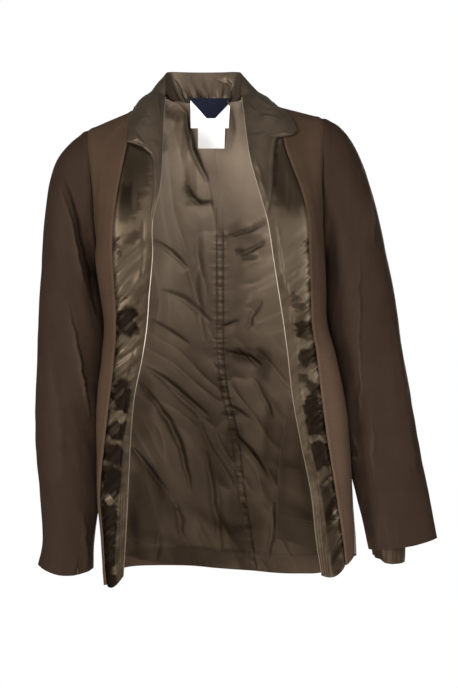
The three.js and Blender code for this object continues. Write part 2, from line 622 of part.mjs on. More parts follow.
// Body
function body() {
  const meshes = [];
  const sides = [['left', frontLeft, backLeft], ['right', frontRight, backRight]];
  for (const [side, front, back] of sides) {
    const shellGrid = panelGrid(front, [1, 1.5, 2, 2.34, 2.67, 3, 3.5, 4]);
    meshes.push(wall(`front_${side}`, trimmed(shellGrid), 0, SHELL, 'shell'));
    const bandGrid = refine(panelGrid(front, [0, 0.5, 1]), BAND_SPLIT, 1);
    meshes.push(wall(`band_${side}`, trimmed(bandGrid), puckers(bandGrid), SATIN, 'satin'));
    const backGrid = panelGrid(back, BACK_REACHES);
    meshes.push(wall(`back_${side}`, trimmed(backGrid), 0, SHELL, 'shell'));
    const liningGrid = refine(backGrid, 1, LINING_SPLIT);
    const backLining = trimmed(shortened(liningGrid, side));
    meshes.push(wall(`lining_back_${side}`, backLining, liningOffset, LINING, 'lining'));
    const frontLining = trimmed(panelGrid(front, FRONT_LINING_REACHES), LINING_TRIM);
    meshes.push(wall(`lining_front_${side}`, frontLining, -LINING_INSET, LINING, 'lining'));
  }
  return meshes;
}

// The back lining ends above the hem of the shell on the left
function shortened(grid, side) {
  const last = grid.length - 1;
  return grid.map((row, j) =>
    row.map((cell, i) => {
      if (j < last) return cell;
      const share = side === 'left' ? i / (row.length - 1) : 0;
      const rise = 2 + 22 * smooth(0.35, 1, share);
      return { point: cell.point.clone().add(new THREE.Vector3(0, 0, rise)), normal: cell.normal };
    }));
}

// Raised puckers fading from the seam across the band
function puckers(grid) {
  const rows = grid.length - 1;
  const columns = grid[0].length - 1;
  const levelOf = (j) => {
    const k = j / BAND_SPLIT;
    const low = Math.min(Math.floor(k), LEVELS.length - 2);
    return LEVELS[low] + (LEVELS[low + 1] - LEVELS[low]) * (k - low);
  };
  return (cell, j, i) => {
    if (j === 0 || j === rows) return 0;
    const level = levelOf(j);
    const phase = ((level - PUCKER_FROM) / (PUCKER_TO - PUCKER_FROM)) * PUCKERS + (1 - i / columns) * 1.2;
    const begins = smooth(PUCKER_FROM - 1, PUCKER_FROM + 1, level);
    const gate = begins * (1 - smooth(PUCKER_TO - 1, PUCKER_TO, level));
    const fade = [0.15, 1, 0.5][Math.round((2 * i) / columns)];
    return PUCKER_HEIGHT * gate * fade * (0.5 - 0.5 * Math.cos(2 * Math.PI * phase));
  };
}

// Sleeve surface: ring by ring from the armhole, degrees round the ring
class Sleeve {
  constructor(side, rows) {
    this.side = side;
    this.rows = rows;
    this.sign = side === 'left' ? -1 : 1;
  }

  point(degrees, ring) {
    const a = radians(degrees);
    const last = this.rows.length - 1;
    const outer = along(this.rows, 'outer', ring);
    const inner = along(this.rows, 'inner', ring);
    const low = Math.min(Math.floor(ring), last - 1);
    const share = ring - low;
    const depth = this.rows[low].depth * (1 - share) + this.rows[low + 1].depth * share;
    const dip = this.rows[low].dip * (1 - share) + this.rows[low + 1].dip * share;
    const centre = mix(outer, inner, 0.5);
    const up = outer.clone().sub(centre);
    const at = centre.clone().addScaledVector(up, Math.cos(a));
    return at.add(new THREE.Vector3(0, -depth * Math.sin(a), -dip * Math.sin(a) ** 2));
  }

  normal(degrees, ring) {
    if (ring === 0) {
      const turned = Math.abs(degrees > 180 ? degrees - 360 : degrees);
      const flat = new THREE.Vector3(-outwardX(this.side), 0, 0);
      return armholeRadial(this.side, degrees).lerp(flat, smooth(110, 165, turned)).normalize();
    }
    const last = this.rows.length - 1;
    const r0 = clamp(ring - 0.05, 0, last);
    const r1 = clamp(ring + 0.05, 0, last);
    const round = this.point(degrees + 2, ring).sub(this.point(degrees - 2, ring));
    const down = this.point(degrees, r1).sub(this.point(degrees, r0));
    return round.cross(down).normalize().multiplyScalar(this.sign);
  }

  grid(from, to, ringSplit) {
    const rings = steps(0, this.rows.length - 1, (this.rows.length - 1) * ringSplit);
    const around = steps(from, to, (to - from) / RING_STEP);
    return rings.map((ring) =>
      around.map((degrees) => ({
        point: this.point(degrees, ring),
        normal: this.normal(degrees, ring),
        degrees,
        ring,
      })));
  }
}

function sleeveFold(side, degrees, ring) {
  const wrapped = degrees > 180 ? degrees - 360 : degrees;
  let height = 0;
  for (const fold of SLEEVE_FOLDS[side]) {
    const middle = (fold.from + fold.to) / 2;
    const half = (fold.to - fold.from) / 2;
    const fade = 1 - smooth(0.4, 1, Math.abs(ring - middle) / half);
    const off = wrapped - fold.around - fold.lean * (ring - middle);
    height += fold.depth * fade * Math.exp(-((off / fold.width) ** 2));
  }
  return height;
}

function sleeves() {
  const meshes = [];
  for (const [side, rows] of [['left', SLEEVE_LEFT], ['right', SLEEVE_RIGHT]]) {
    const sleeve = new Sleeve(side, rows);
    for (const [name, part] of [['top', TOP_SLEEVE], ['under', UNDER_SLEEVE]]) {
      const grid = sleeve.grid(part.from, part.to, 1);
      for (const row of grid) {
        for (const cell of row) {
          cell.point.addScaledVector(cell.normal, sleeveFold(side, cell.degrees, cell.ring));
        }
      }
      meshes.push(wall(`${name}_sleeve_${side}`, trimmed(grid), 0, SHELL, 'shell'));
    }
  }
  const cuff = new Sleeve('right', CUFF_LINING);
  cuff.normal = (degrees) => {
    const a = radians(degrees);
    return new THREE.Vector3(Math.cos(a), -Math.sin(a), 0).normalize();
  };
  const rings = cuff.grid(0, 360 - RING_STEP, 1);
  const sleeve = new Sleeve('right', SLEEVE_RIGHT);
  rings.unshift(rings[0].map(({ degrees }) => {
    const normal = sleeve.normal(degrees, CUFF_LINING_RING);
    const point = sleeve.point(degrees, CUFF_LINING_RING).addScaledVector(normal, -CUFF_LINING_INSET);
    return { point, normal };
  }));
  meshes.push(tube('sleeve_lining_right', rings, LINING, 'lining'));
  return meshes;
}

// Closed ring of cloth, open at both ends
function tube(name, grid, thickness, finish) {
  const rows = grid.length;
  const columns = grid[0].length;
  const positions = [];
  for (const layer of [0, thickness]) {
    for (const row of grid) {
      for (const cell of row) {
        const at = cell.point.clone().addScaledVector(cell.normal, -layer);
        positions.push(at.x, at.y, at.z);
      }
    }
  }
  const index = [];
  const at = (layer, j, i) => layer * rows * columns + j * columns + (i % columns);
  const quad = (a, b, c, d) => index.push(a, b, c, a, c, d);
  for (let i = 0; i < columns; i += 1) {
    for (let j = 0; j < rows - 1; j += 1) {
      quad(at(0, j, i), at(0, j + 1, i), at(0, j + 1, i + 1), at(0, j, i + 1));
      quad(at(1, j, i), at(1, j, i + 1), at(1, j + 1, i + 1), at(1, j + 1, i));
    }
    quad(at(0, 0, i), at(0, 0, i + 1), at(1, 0, i + 1), at(1, 0, i));
    quad(at(0, rows - 1, i + 1), at(0, rows - 1, i), at(1, rows - 1, i), at(1, rows - 1, i + 1));
  }
  return solid(name, positions, index, finish);
}

// Collar fall over the fronts: turned strip and leaf lying on the panel's points
function lapelRows(panel, table) {
  const rows = [];
  for (let k = 0; k < table.length - 1; k += 1) {
    for (const share of k === 0 ? [0, 0.5, 1] : [0.5, 1]) {
      const read = (key) => table[k][key] * (1 - share) + table[k + 1][key] * share;
      const level = read('level');
      rows.push(steps(0, 1, 5).map((part) => {
        const reach = part * read('reach');
        const normal = panel.ownNormal(reach, level);
        if (level < 0.6) normal.lerp(shoulderNormal(panel.side), 1 - smooth(0, 0.6, level)).normalize();
        const lift = COLLAR_LIFT + read('rise') * Math.sin(Math.PI * part);
        return { point: panel.point(reach, level).addScaledVector(normal, lift), normal };
      }));
    }
  }
  return rows;
}

function neckRow(station) {
  const crest = along(NECK_RING, 'crest', station);
  const leaf = along(NECK_RING, 'leaf', station);
  const low = Math.min(Math.floor(station), NECK_RING.length - 2);
  const swell = NECK_RING[low].swell + (NECK_RING[low + 1].swell - NECK_RING[low].swell) * (station - low);
  const chord = leaf.clone().sub(crest);
  const flat = new THREE.Vector3(chord.x, chord.y, 0).normalize();
  const run = Math.hypot(chord.x, chord.y);
  const away = flat.clone().multiplyScalar(-chord.z).add(new THREE.Vector3(0, 0, run)).normalize();
  return steps(0, 1, 5).map((part) => {
    const point = mix(crest, leaf, part).addScaledVector(away, swell * Math.sin(Math.PI * part));
    const tilt = (Math.PI * swell * Math.cos(Math.PI * part)) / chord.length();
    const normal = away.clone().addScaledVector(chord.clone().normalize(), -tilt).normalize();
    return { point, normal };
  });
}

function collar() {
  const left = lapelRows(frontLeft, LAPEL_LEFT);
  const right = lapelRows(frontRight, LAPEL_RIGHT);
  const neck = steps(0, NECK_RING.length - 1, 2 * (NECK_RING.length - 1)).map(neckRow);
  const grid = [...left.slice(0, -1), ...neck, ...right.slice(1)];
  const fall = wall('collar_fall', grid, SATIN, SATIN, 'satin');

  const last = NECK_RING.length - 1;
  const middle = last / 2;
  const standGrid = steps(STAND_FROM, last - STAND_FROM, STAND_STEPS).map((station, k) => {
    const half = station < middle ? backLeft : backRight;
    const reach = (2 * Math.abs(station - middle)) / middle;
    const foot = half.point(reach, 0).add(new THREE.Vector3(0, 0, 0.9));
    const top = along(NECK_RING, 'crest', station).add(new THREE.Vector3(0, 0, -1.2));
    const turn = (station - middle) / middle;
    const normal = new THREE.Vector3(1.3 * turn ** 3 + 0.4 * turn, 1 - 0.9 * turn ** 4, 0).normalize();
    return steps(0, 1, 3).map((share) => {
      const turns = (2 * Math.PI * STAND_GATHERS * k) / STAND_STEPS;
      const wave = GATHER_HEIGHT * (1 - share) ** 2 * (0.5 - 0.5 * Math.cos(turns));
      return { point: mix(foot, top, share).addScaledVector(normal, -wave), normal };
    });
  });
  const stand = wall('collar_stand', standGrid, 0, SATIN, 'satin');
  return [fall, stand];
}

// Label lying on the back lining across the centre seam
function label(name, sizes, finish) {
  const halves = [panelGrid(backLeft, BACK_REACHES), panelGrid(backRight, BACK_REACHES)];
  const rows = steps(0, 1, 4).map((share) => {
    const level = sizes.top + (sizes.bottom - sizes.top) * share;
    const from = sizes.left[0] + (sizes.left[1] - sizes.left[0]) * share;
    const to = sizes.right[0] + (sizes.right[1] - sizes.right[0]) * share;
    return steps(from, to, 6).map((reach) =>
      onGrid(halves[reach < 0 ? 0 : 1], (level * ARMHOLE_ROWS) / ARMHOLE_LEVEL, Math.abs(reach)));
  });
  const rise = LINING + LABEL_GAP + sizes.over * (LABEL + LABEL_GAP);
  return wall(name, rows, (cell) => liningOffset(cell) - rise, LABEL, finish);
}

const group = new THREE.Group();
group.name = 'open_blazer';
for (const mesh of [...body(), ...sleeves(), ...collar()]) group.add(mesh);
group.add(label('label_neck', NECK_LABEL, 'navy'));
group.add(label('label_care', CARE_LABEL, 'white'));

export default group;
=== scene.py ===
"""Open satin-fronted blazer in its worn form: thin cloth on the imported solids' forms."""

import json
import logging
import math
from dataclasses import dataclass
from enum import Enum
from typing import Optional, Sequence

import bpy
import numpy as np
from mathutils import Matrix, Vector

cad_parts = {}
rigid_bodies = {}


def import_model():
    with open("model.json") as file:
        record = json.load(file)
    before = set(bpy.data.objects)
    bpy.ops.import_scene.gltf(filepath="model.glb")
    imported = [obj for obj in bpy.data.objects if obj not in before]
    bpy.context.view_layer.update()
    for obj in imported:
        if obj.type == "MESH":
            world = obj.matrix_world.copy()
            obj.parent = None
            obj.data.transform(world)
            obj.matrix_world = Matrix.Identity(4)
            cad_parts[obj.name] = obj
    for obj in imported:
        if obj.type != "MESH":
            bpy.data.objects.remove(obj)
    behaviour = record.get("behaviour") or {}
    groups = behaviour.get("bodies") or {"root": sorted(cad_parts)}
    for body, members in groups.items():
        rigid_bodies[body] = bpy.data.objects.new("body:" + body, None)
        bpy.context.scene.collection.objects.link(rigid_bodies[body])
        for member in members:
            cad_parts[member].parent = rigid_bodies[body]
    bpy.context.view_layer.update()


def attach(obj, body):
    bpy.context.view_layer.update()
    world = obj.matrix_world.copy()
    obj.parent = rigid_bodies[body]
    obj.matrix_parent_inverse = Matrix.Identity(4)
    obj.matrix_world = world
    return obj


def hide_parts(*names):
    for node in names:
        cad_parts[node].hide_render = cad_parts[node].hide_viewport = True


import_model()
LOG = logging.getLogger("blazer")

MM = 0.001
HEM_LEVEL = 15
ARMHOLE_LEVEL = 7
LINING_INSET = 2.8
THIN = 0.8
BAND_HEM_DROP = 8.5
RIM_ANGLE = math.radians(62)
BAND_COLUMNS = 44
BACK_LINING_COLUMNS = 116
FRONT_LINING_COLUMNS = 58

Array = np.ndarray


class Side(Enum):
    """The garment's two halves, as seen by the viewer."""

    LEFT = "left"
    RIGHT = "right"


class Face(Enum):
    """Front or back of the body."""

    FRONT = "front"
    BACK = "back"


ARMHOLES = {
    Side.LEFT: ((-167, -0.5, -23), (-150, 4.5, -205), 57),
    Side.RIGHT: ((164.4, 0, -5.8), (163, 5, -195), 57),
}
NECK_POINTS = {Side.LEFT: (-57.4, 5, 25), Side.RIGHT: (50.5, 5, 24)}
SHOULDER_SHARES = {"edge": 0.0, "neck": 0.0, "seam": 0.42, "blade": 0.42, "turn": 0.72, "flank": 0.86}

# Guide columns by level: edge, seam, turn, flank and, below the underarm, side
FRONT_LEFT = (
    ((-58.4, -30, -8), (-107, -28, -14), (-140, -22, -24), (-154, -25, -28.5)),
    ((-59, -55, -44), (-108.3, -58, -48), (-140, -50, -52), (-153, -48.5, -55)),
    ((-59.5, -75, -80), (-113.5, -74, -80), (-141, -66, -84), (-151, -61, -89)),
    ((-62.2, -88, -116), (-120, -84, -117), (-143, -74, -121), (-150.5, -66, -127)),
    ((-70, -95, -150), (-124.5, -89, -150), (-144, -77, -154), (-150.5, -62, -162)),
    ((-71.7, -99, -175), (-126.5, -92, -178), (-147, -74, -184), (-152, -50, -191)),
    ((-70.9, -100, -204), (-126.5, -93, -207), (-150, -72, -212), (-150.6, -35, -211)),
    ((-75.6, -100, -260), (-123, -95, -260), (-143, -72, -260), (-142, -25, -260), (-137, 22, -260)),
    ((-78.5, -100, -300), (-121.5, -95, -300), (-139, -72, -300), (-138, -18, -300), (-136, 36, -300)),
    ((-85, -100, -345), (-123.5, -95, -345), (-142, -72, -345), (-139, -12, -345), (-135, 48, -345)),
    ((-96, -100, -400), (-130, -95, -400), (-148.5, -72, -400), (-144, -8, -400), (-136, 58, -400)),
    ((-101, -100, -460), (-136.6, -95, -460), (-150.5, -72, -460), (-146, -5, -460), (-136, 63, -460)),
    ((-104.4, -100, -530), (-142.8, -94, -530), (-147, -70, -530), (-142, 0, -530), (-133, 66, -530)),
    ((-107.5, -100, -590), (-138.5, -94, -592), (-143, -68, -592), (-139, 0, -590), (-130, 68, -588)),
    ((-111, -100, -641), (-135, -95, -654), (-140, -66, -656), (-137, 0, -657), (-128, 68, -655)),
)
FRONT_RIGHT = (
    ((54, -29, -8), (106, -26, -8), (137, -20, -12), (151, -25, -15)),
    ((57.8, -55, -44), (109, -57, -48), (140, -49, -47), (152.5, -48, -45)),
    ((63.5, -74, -79), (119, -71, -80), (144, -63, -80), (155, -60, -80)),
    ((73.5, -89, -116), (132, -82, -116), (150, -72, -118), (159, -63, -120)),
    ((83, -96, -150), (140, -88, -150), (155, -76, -153), (162.5, -59, -156)),
    ((87.8, -99, -175), (142, -91, -176), (159, -73, -180), (165, -48, -183)),
    ((92, -100, -204), (142.3, -93, -205), (163.5, -70, -205), (164.6, -33, -202)),
    ((100.7, -100, -260), (144.5, -95, -260), (164.5, -72, -260), (166, -25, -260), (160, 22, -260)),
    ((106.9, -100, -300), (145.9, -95, -300), (167, -72, -300), (167, -18, -300), (160, 36, -300)),
    ((112.8, -100, -345), (152.6, -95, -345), (179, -72, -345), (177, -12, -345), (168, 48, -345)),
    ((119, -100, -400), (159, -95, -400), (189.5, -72, -400), (186, 0, -398), (133, 50, -400)),
    ((130, -100, -460), (167, -95, -460), (196.5, -72, -460), (192, 5, -455), (112.5, 55, -452)),
    ((144, -100, -530), (178.3, -94, -530), (200, -68, -528), (196, 8, -525), (105.5, 59, -515)),
    ((150.5, -100, -590), (187, -93, -586), (205, -64, -578), (199, 6, -578), (103, 60, -568)),
    ((158.5, -100, -641), (192, -92, -628), (207, -62, -616), (200, 4, -626), (101.2, 60, -607.5)),
)
# Guide columns by level: centre, nape, neck side, blade, turn and the side where it isn't the front's
BACK_CENTRE = (
    (5, 54, 25), (8, 74, 8), (11, 88, -25), (15, 97, -62), (18.5, 102, -103), (19.3, 105, -145),
    (19.3, 106, -178), (19.3, 107, -208), (19.5, 108, -260), (19.8, 108, -300), (20.3, 107, -345),
    (27, 106, -400), (41, 106, -460), (49.5, 107, -530), (58, 108, -590), (69, 108, -661),
)
BACK_LEFT = (
    ((-28, 67, 9), (-57, 48, 7), (-104, 42, -6), (-138, 34, -20)),
    ((-25, 84, -25), (-56, 75, -27), (-106, 66, -35), (-141, 56, -46)),
    ((-22, 94, -62), (-55, 90, -64), (-108, 80, -70), (-142, 68, -82)),
    ((-20, 100, -103), (-54, 98, -105), (-110, 88, -109), (-142, 74, -121)),
    ((-18, 104, -145), (-53, 102, -147), (-111, 92, -150), (-142, 74, -158)),
    ((-18, 105.5, -178), (-52, 104, -180), (-111, 94, -184), (-142, 70, -190)),
    ((-18, 106, -208), (-52, 105, -209), (-111, 95, -213), (-145, 62, -214)),
    ((-18, 107, -260), (-52, 106, -260), (-107, 97, -260), (-133, 68, -260)),
    ((-18, 107, -300), (-52, 106, -300), (-105, 97, -300), (-130, 74, -300)),
    ((-17, 106, -345), (-51, 105, -345), (-103, 96, -345), (-128, 78, -345)),
    ((-12, 105, -400), (-47, 104, -400), (-100, 96, -400), (-127, 82, -400)),
    ((-4, 105, -460), (-42, 104, -460), (-98, 96, -460), (-126, 84, -460)),
    ((2, 106, -530), (-38, 105, -530), (-95, 97, -530), (-123, 85, -530)),
    ((7, 107, -590), (-34, 106, -590), (-92, 98, -590), (-120, 86, -589)),
    ((14, 107, -657), (-30, 106, -653), (-90, 98, -652), (-118, 86, -653)),
)
BACK_RIGHT = (
    ((38, 67, 9), (54, 48, 7), (101, 42, 4), (135, 34, -6)),
    ((37, 84, -24), (60, 77, -25), (108, 66, -27), (143, 56, -32)),
    ((42, 94, -61), (68, 90, -61), (115, 80, -61), (148, 68, -67)),
    ((48, 100, -103), (76, 97, -103), (122, 88, -103), (151, 74, -109)),
    ((52, 103.5, -145), (82, 101, -145), (127, 92, -145), (153, 74, -150)),
    ((54, 105, -178), (85, 103, -178), (130, 93, -178), (154, 70, -180)),
    ((55, 106, -207), (87, 104, -206), (132, 94, -205), (158, 62, -204)),
    ((55, 107, -260), (88, 105, -260), (131, 96, -260), (154, 68, -260)),
    ((55, 107, -300), (88, 105, -300), (131, 96, -300), (154, 74, -300)),
    ((56, 106, -345), (90, 104, -345), (136, 96, -345), (163, 76, -345)),
    ((62, 105, -400), (97, 103, -400), (142, 96, -400), (170, 82, -400), (181, 66, -400)),
    ((74, 105, -460), (109, 104, -460), (150, 97, -460), (176, 86, -460), (188, 70, -460)),
    ((82, 106, -530), (117, 105, -530), (157, 98, -530), (181, 88, -530), (193, 72, -530)),
    ((90, 107, -590), (124, 106, -590), (163, 99, -590), (186, 89, -590), (198, 73, -590)),
    ((101, 107, -664), (134, 106, -665), (170, 100, -662), (190, 90, -645), (202, 74, -634)),
)
NAPE_TOP = {Side.LEFT: (-38, 42, 25), Side.RIGHT: (35, 42, 25)}
VENT_LEVEL = 10

# Sleeve rings: outer line, inner line, half depth, dip of the front and back
SLEEVES = {
    Side.LEFT: (
        ((-167, -0.5, -23), (-150, 4.5, -205), 57, 0), ((-192.7, -0.5, -42.7), (-152.8, 5, -211), 56.5, 0),
        ((-212.9, -1, -69.6), (-154.8, 4, -219), 55, 0), ((-223.5, -2, -112), (-154, 3, -232), 52.5, 0),
        ((-228.6, -4, -165), (-150.5, 1, -252), 50, 0), ((-232, -5, -225), (-145.5, 0, -280), 47.5, 0),
        ((-235.2, -6, -270), (-142, -1, -305), 46, 0), ((-238, -7, -325), (-143, -2, -345), 45, 0),
        ((-239.7, -8, -383), (-148, -4, -393), 43.5, 0), ((-240, -9, -440), (-150.5, -6, -445), 42, 0),
        ((-238.5, -10, -490), (-150, -8, -492), 40.5, 0), ((-235, -10, -535), (-149.5, -9, -536), 39, 0),
        ((-231.5, -11, -575), (-153.5, -10, -574), 37.5, 1), ((-231, -11, -609), (-157.5, -10, -610), 36, 4),
        ((-236, -11, -637), (-158.5, -10, -642), 36, 9),
    ),
    Side.RIGHT: (
        ((164.4, 0, -5.8), (163, 5, -195), 57, 0), ((189.6, -0.5, -19.3), (166.4, 5, -201), 56.5, 0),
        ((212, -1, -49), (168.4, 4, -209), 55, 0), ((231, -2, -99), (168.8, 3, -222), 52.5, 0),
        ((244, -4, -151), (169.2, 1, -243), 50, 0), ((256, -5, -208), (169.6, 0, -272), 47.5, 0),
        ((267, -6, -260), (171.5, -1, -300), 46, 0), ((275.5, -7, -317.5), (181.5, -2, -342), 45, 0),
        ((284, -8, -372), (191, -4, -390), 43.5, 0), ((294, -9, -433), (196, -6, -442), 42, 0),
        ((305, -10, -487), (202, -8, -495), 40, 0), ((315, -10, -537), (212, -9, -538), 37, 0),
        ((322, -11, -573), (221, -10, -577), 34, 1), ((326.6, -11, -598.4), (229.5, -10, -615), 31, 3),
    ),
}
CUFF_LINING = (
    ((315, -10, -537), (212, -9, -538), 37, 0), ((303, -10, -560), (223, -10, -568), 27.5, 1),
    ((284, -11, -598), (232, -10, -598), 24, 2), ((279, -11, -634), (236, -10, -624), 23, 4),
)

# Turned collar over each front: level, reach across the front, rise off it
LAPELS = {
    Side.LEFT: (
        (0, 0.95, 10), (1, 1, 7), (2, 1.02, 3.8), (2.12, 0.78, 3.4), (2.3, 0.51, 3), (2.6, 0.3, 2.2),
        (2.9, 0.22, 1.6), (4, 0.13, 0.9), (5, 0.09, 0.4), (5.3, 0.03, 0),
    ),
    Side.RIGHT: (
        (0, 0.95, 10), (0.6, 1.12, 8), (1.3, 1.48, 6), (1.55, 1.57, 5), (1.72, 1.35, 4.6), (1.84, 0.8, 4.2),
        (2.4, 0.64, 3.2), (3.2, 0.46, 2.4), (4.4, 0.2, 1), (4.93, 0.05, 0.2),
    ),
}
# Collar round the neck: crest, leaf edge, swell
NECK_RING = (
    ((-57.4, 5, 26.6), (-101, 3, 7.3), 10), ((-58.8, 13, 45), (-96, 20, 10), 4),
    ((-57.5, 24, 60), (-84, 42, 12), 4), ((-50, 34, 64), (-64, 60, 15), 6),
    ((-29, 41, 64.5), (-34, 70, 18), 7), ((-3, 43, 64.5), (-3, 75, 19), 7),
    ((22, 41, 64.5), (28, 70, 19), 7), ((42, 34, 64), (58, 60, 17), 6),
    ((50, 24, 60), (80, 42, 16), 4), ((51.5, 13, 45), (91, 20, 15), 5),
    ((50.5, 5, 25.6), (96, 3, 13.5), 10),
)

# Creases, as lines in the plane of the photo: points (x, z), height, width
LINING_CREASES = (
    (((-60, 12), (-48, 22), (-36, 16), (-30, -8), (-22, -38), (-8, -68), (0, -88)), 9, 8),
    (((-28, -92), (-23, -109), (-10, -120), (9, -118)), 5, 5),
    (((-78, -173), (-54, -190), (-28, -215)), 6, 6),
    (((-91, -358), (-47, -391), (2, -432)), 7, 7),
    (((-96, -385), (-56, -441), (-38, -478), (-23, -544)), 7, 8),
    (((-110, -478), (-84, -512), (-56, -550)), 6, 7),
    (((88, -146), (58, -161), (31, -167)), 6, 5),
    (((88, -177), (64, -187), (43, -196)), 7, 5),
    (((18, -302), (47, -291)), 4, 4),
    (((28, -338), (62, -344), (81, -358)), 5, 4.5),
    (((43, -332), (72, -360)), 4, 4),
    (((28, -414), (64, -436)), 4, 5),
    (((41, -457), (75, -498), (90, -523)), 5, 6),
    (((-69, -246), (-32, -261), (7, -294)), 4, 8),
    (((-84, -291), (-25, -327)), 4, 7),
    (((-10, -158), (-16, -246), (-4, -320)), 3, 11),
    (((-47, -556), (-36, -615)), 4, 8),
    (((-3, -482), (12, -570), (22, -630)), 4, 9),
    (((81, -261), (57, -305)), 4, 6),
    (((71, -379), (100, -438)), 4, 7),
    (((100, -560), (92, -640)), 4, 7),
    (((-70, -600), (-76, -650)), 4, 8),
)
COLLAR_CREASES = (
    (((-77, -11), (-88, -17), (-99, -28)), 3, 5),
    (((-99, -30), (-92, -44), (-84, -50)), 2.5, 4),
    (((58, 15), (63, 4), (70, -4)), 2.5, 4),
    (((78, -8), (92, -11), (105, -12)), 2.5, 4),
    (((66, 24), (84, 10), (100, 2)), 2, 5),
    (((-62, 46), (-66, 20), (-64, -10)), 2, 5),
    (((62, -50), (76, -96), (88, -140)), 1.5, 6),
)
STAND_CREASES = (
    (((26, 58), (34, 46), (42, 30)), 2.5, 3),
    (((12, 56), (30, 50), (44, 44)), 1.5, 4),
    (((-44, 52), (-38, 40), (-34, 26)), 2, 4),
    (((-20, 50), (-14, 36), (-14, 24)), 1.5, 4),
)
SLEEVE_CREASES = {
    Side.LEFT: (
        (((-198, -94), (-183, -133), (-171, -182), (-158, -222), (-153, -284)), -7, 4),
        (((-206, -100), (-191, -140), (-180, -190), (-170, -240)), 4, 6),
        (((-191, -265), (-174, -362), (-162, -430)), 4.5, 4),
        (((-222, -330), (-205, -420), (-200, -520)), 1.6, 12),
        (((-170, -560), (-166, -640)), 1.4, 4),
    ),
    Side.RIGHT: (
        (((214, -196), (214, -300), (216, -438)), 4.5, 4),
        (((230, -115), (235, -189)), 4, 4),
        (((231, -431), (234, -515)), 3, 6),
        (((204, -449), (212, -474)), 3, 3),
        (((198, -489), (217, -480)), 4, 2.5),
        (((262, -290), (282, -420), (296, -520)), 2, 12),
        (((252, -560), (254, -612)), 1.4, 3.5),
        (((240, -566), (242, -612)), 1.2, 3.5),
        (((268, -570), (270, -608)), 1.2, 4),
    ),
}


def through(points: Array, at: Array, corner: int = -1, sharp: Optional[Array] = None) -> Array:
    """Smooth curves through guide points.

    Args:
        points: (K, N, 3) guide points of N curves.
        at: (M,) places along the guides, in guide steps.
        corner: guide whose tangents are one-sided by `sharp`.
        sharp: (N,) share of that sharpness.

    Returns:
        (N, M, 3) points.
    """
    last = len(points) - 1
    i = np.clip(np.floor(at).astype(int), 0, last - 1)
    t = (at - i)[:, None, None]
    step = np.diff(points, axis=0)
    central = np.concatenate([step[:1], (step[1:] + step[:-1]) / 2, step[-1:]])
    after, before = central.copy(), central.copy()
    if corner > 0:
        s = (np.zeros(points.shape[1]) if sharp is None else sharp)[:, None]
        after[corner] = central[corner] * (1 - s) + step[corner] * s
        before[corner] = central[corner] * (1 - s) + step[corner - 1] * s
    p0, p1, m0, m1 = points[i], points[i + 1], after[i], before[i + 1]
    t2, t3 = t * t, t * t * t
    out = (2 * t3 - 3 * t2 + 1) * p0 + (t3 - 2 * t2 + t) * m0 + (3 * t2 - 2 * t3) * p1 + (t3 - t2) * m1
    return out.transpose(1, 0, 2)


def smooth(low: float, high: float, x: Array) -> Array:
    """Soft step from 0 at low to 1 at high."""
    t = np.clip((np.asarray(x, float) - low) / (high - low), 0, 1)
    return t * t * (3 - 2 * t)


def unit(v: Array) -> Array:
    """Vectors of length one."""
    return v / np.maximum(np.linalg.norm(v, axis=-1, keepdims=True), 1e-9)


def noise(x: Array, y: Array, seed: int) -> Array:
    """Smooth value noise from -1 to 1 over a plane, with a fixed seed."""
    table = np.random.default_rng(seed).uniform(-1, 1, (64, 64))
    i, j = np.floor(x).astype(int), np.floor(y).astype(int)
    fx, fy = x - i, y - j
    fx, fy = fx * fx * (3 - 2 * fx), fy * fy * (3 - 2 * fy)
    at = lambda a, b: table[a % 64, b % 64]
    low = at(i, j) * (1 - fx) + at(i + 1, j) * fx
    high = at(i, j + 1) * (1 - fx) + at(i + 1, j + 1) * fx
    return low * (1 - fy) + high * fy


def near_line(xz: Array, points: Sequence) -> tuple[Array, Array, Array]:
    """Where points of a plane lie along a line.

    Args:
        xz: (..., 2) points in millimetres.
        points: the line's own points.

    Returns:
        Distance to the line, share of its length, and the side of it as a sign.
    """
    line = np.array(points, float)
    lengths = np.linalg.norm(np.diff(line, axis=0), axis=1)
    starts = np.concatenate([[0], np.cumsum(lengths)])
    best = np.full(xz.shape[:-1], 1e9)
    run, turn = np.zeros_like(best), np.zeros_like(best)
    for a, b, s, n in zip(line[:-1], line[1:], starts, lengths):
        d = (b - a) / n
        t = np.clip((xz - a) @ d, 0, n)
        away = xz - a - t[..., None] * d
        far = np.linalg.norm(away, axis=-1)
        nearer = far < best
        best = np.where(nearer, far, best)
        run = np.where(nearer, (s + t) / starts[-1], run)
        turn = np.where(nearer, np.sign(away[..., 0] * d[1] - away[..., 1] * d[0]), turn)
    return best, run, turn


def painted_shadows(p: Array, lines: Sequence, seed: int) -> Array:
    """Painted shade of long soft shadows.

    Args:
        p: (..., 3) points in millimetres.
        lines: rows of (points, half width, darkness).
        seed: seed of their unevenness.
    """
    warp = 3.0 * noise(p[..., 0] / 19, p[..., 2] / 14, seed)
    xz = p[..., [0, 2]] + np.stack([warp, -warp], axis=-1)
    tone = np.ones(p.shape[:-1])
    for line, wide, dark in lines:
        far, run, _ = near_line(xz, line)
        fade = np.sin(math.pi * np.clip(run, 0.06, 0.94)) ** 0.5
        tone = tone * (1 - dark * fade * np.exp(-((far / wide) ** 2)))
    return tone


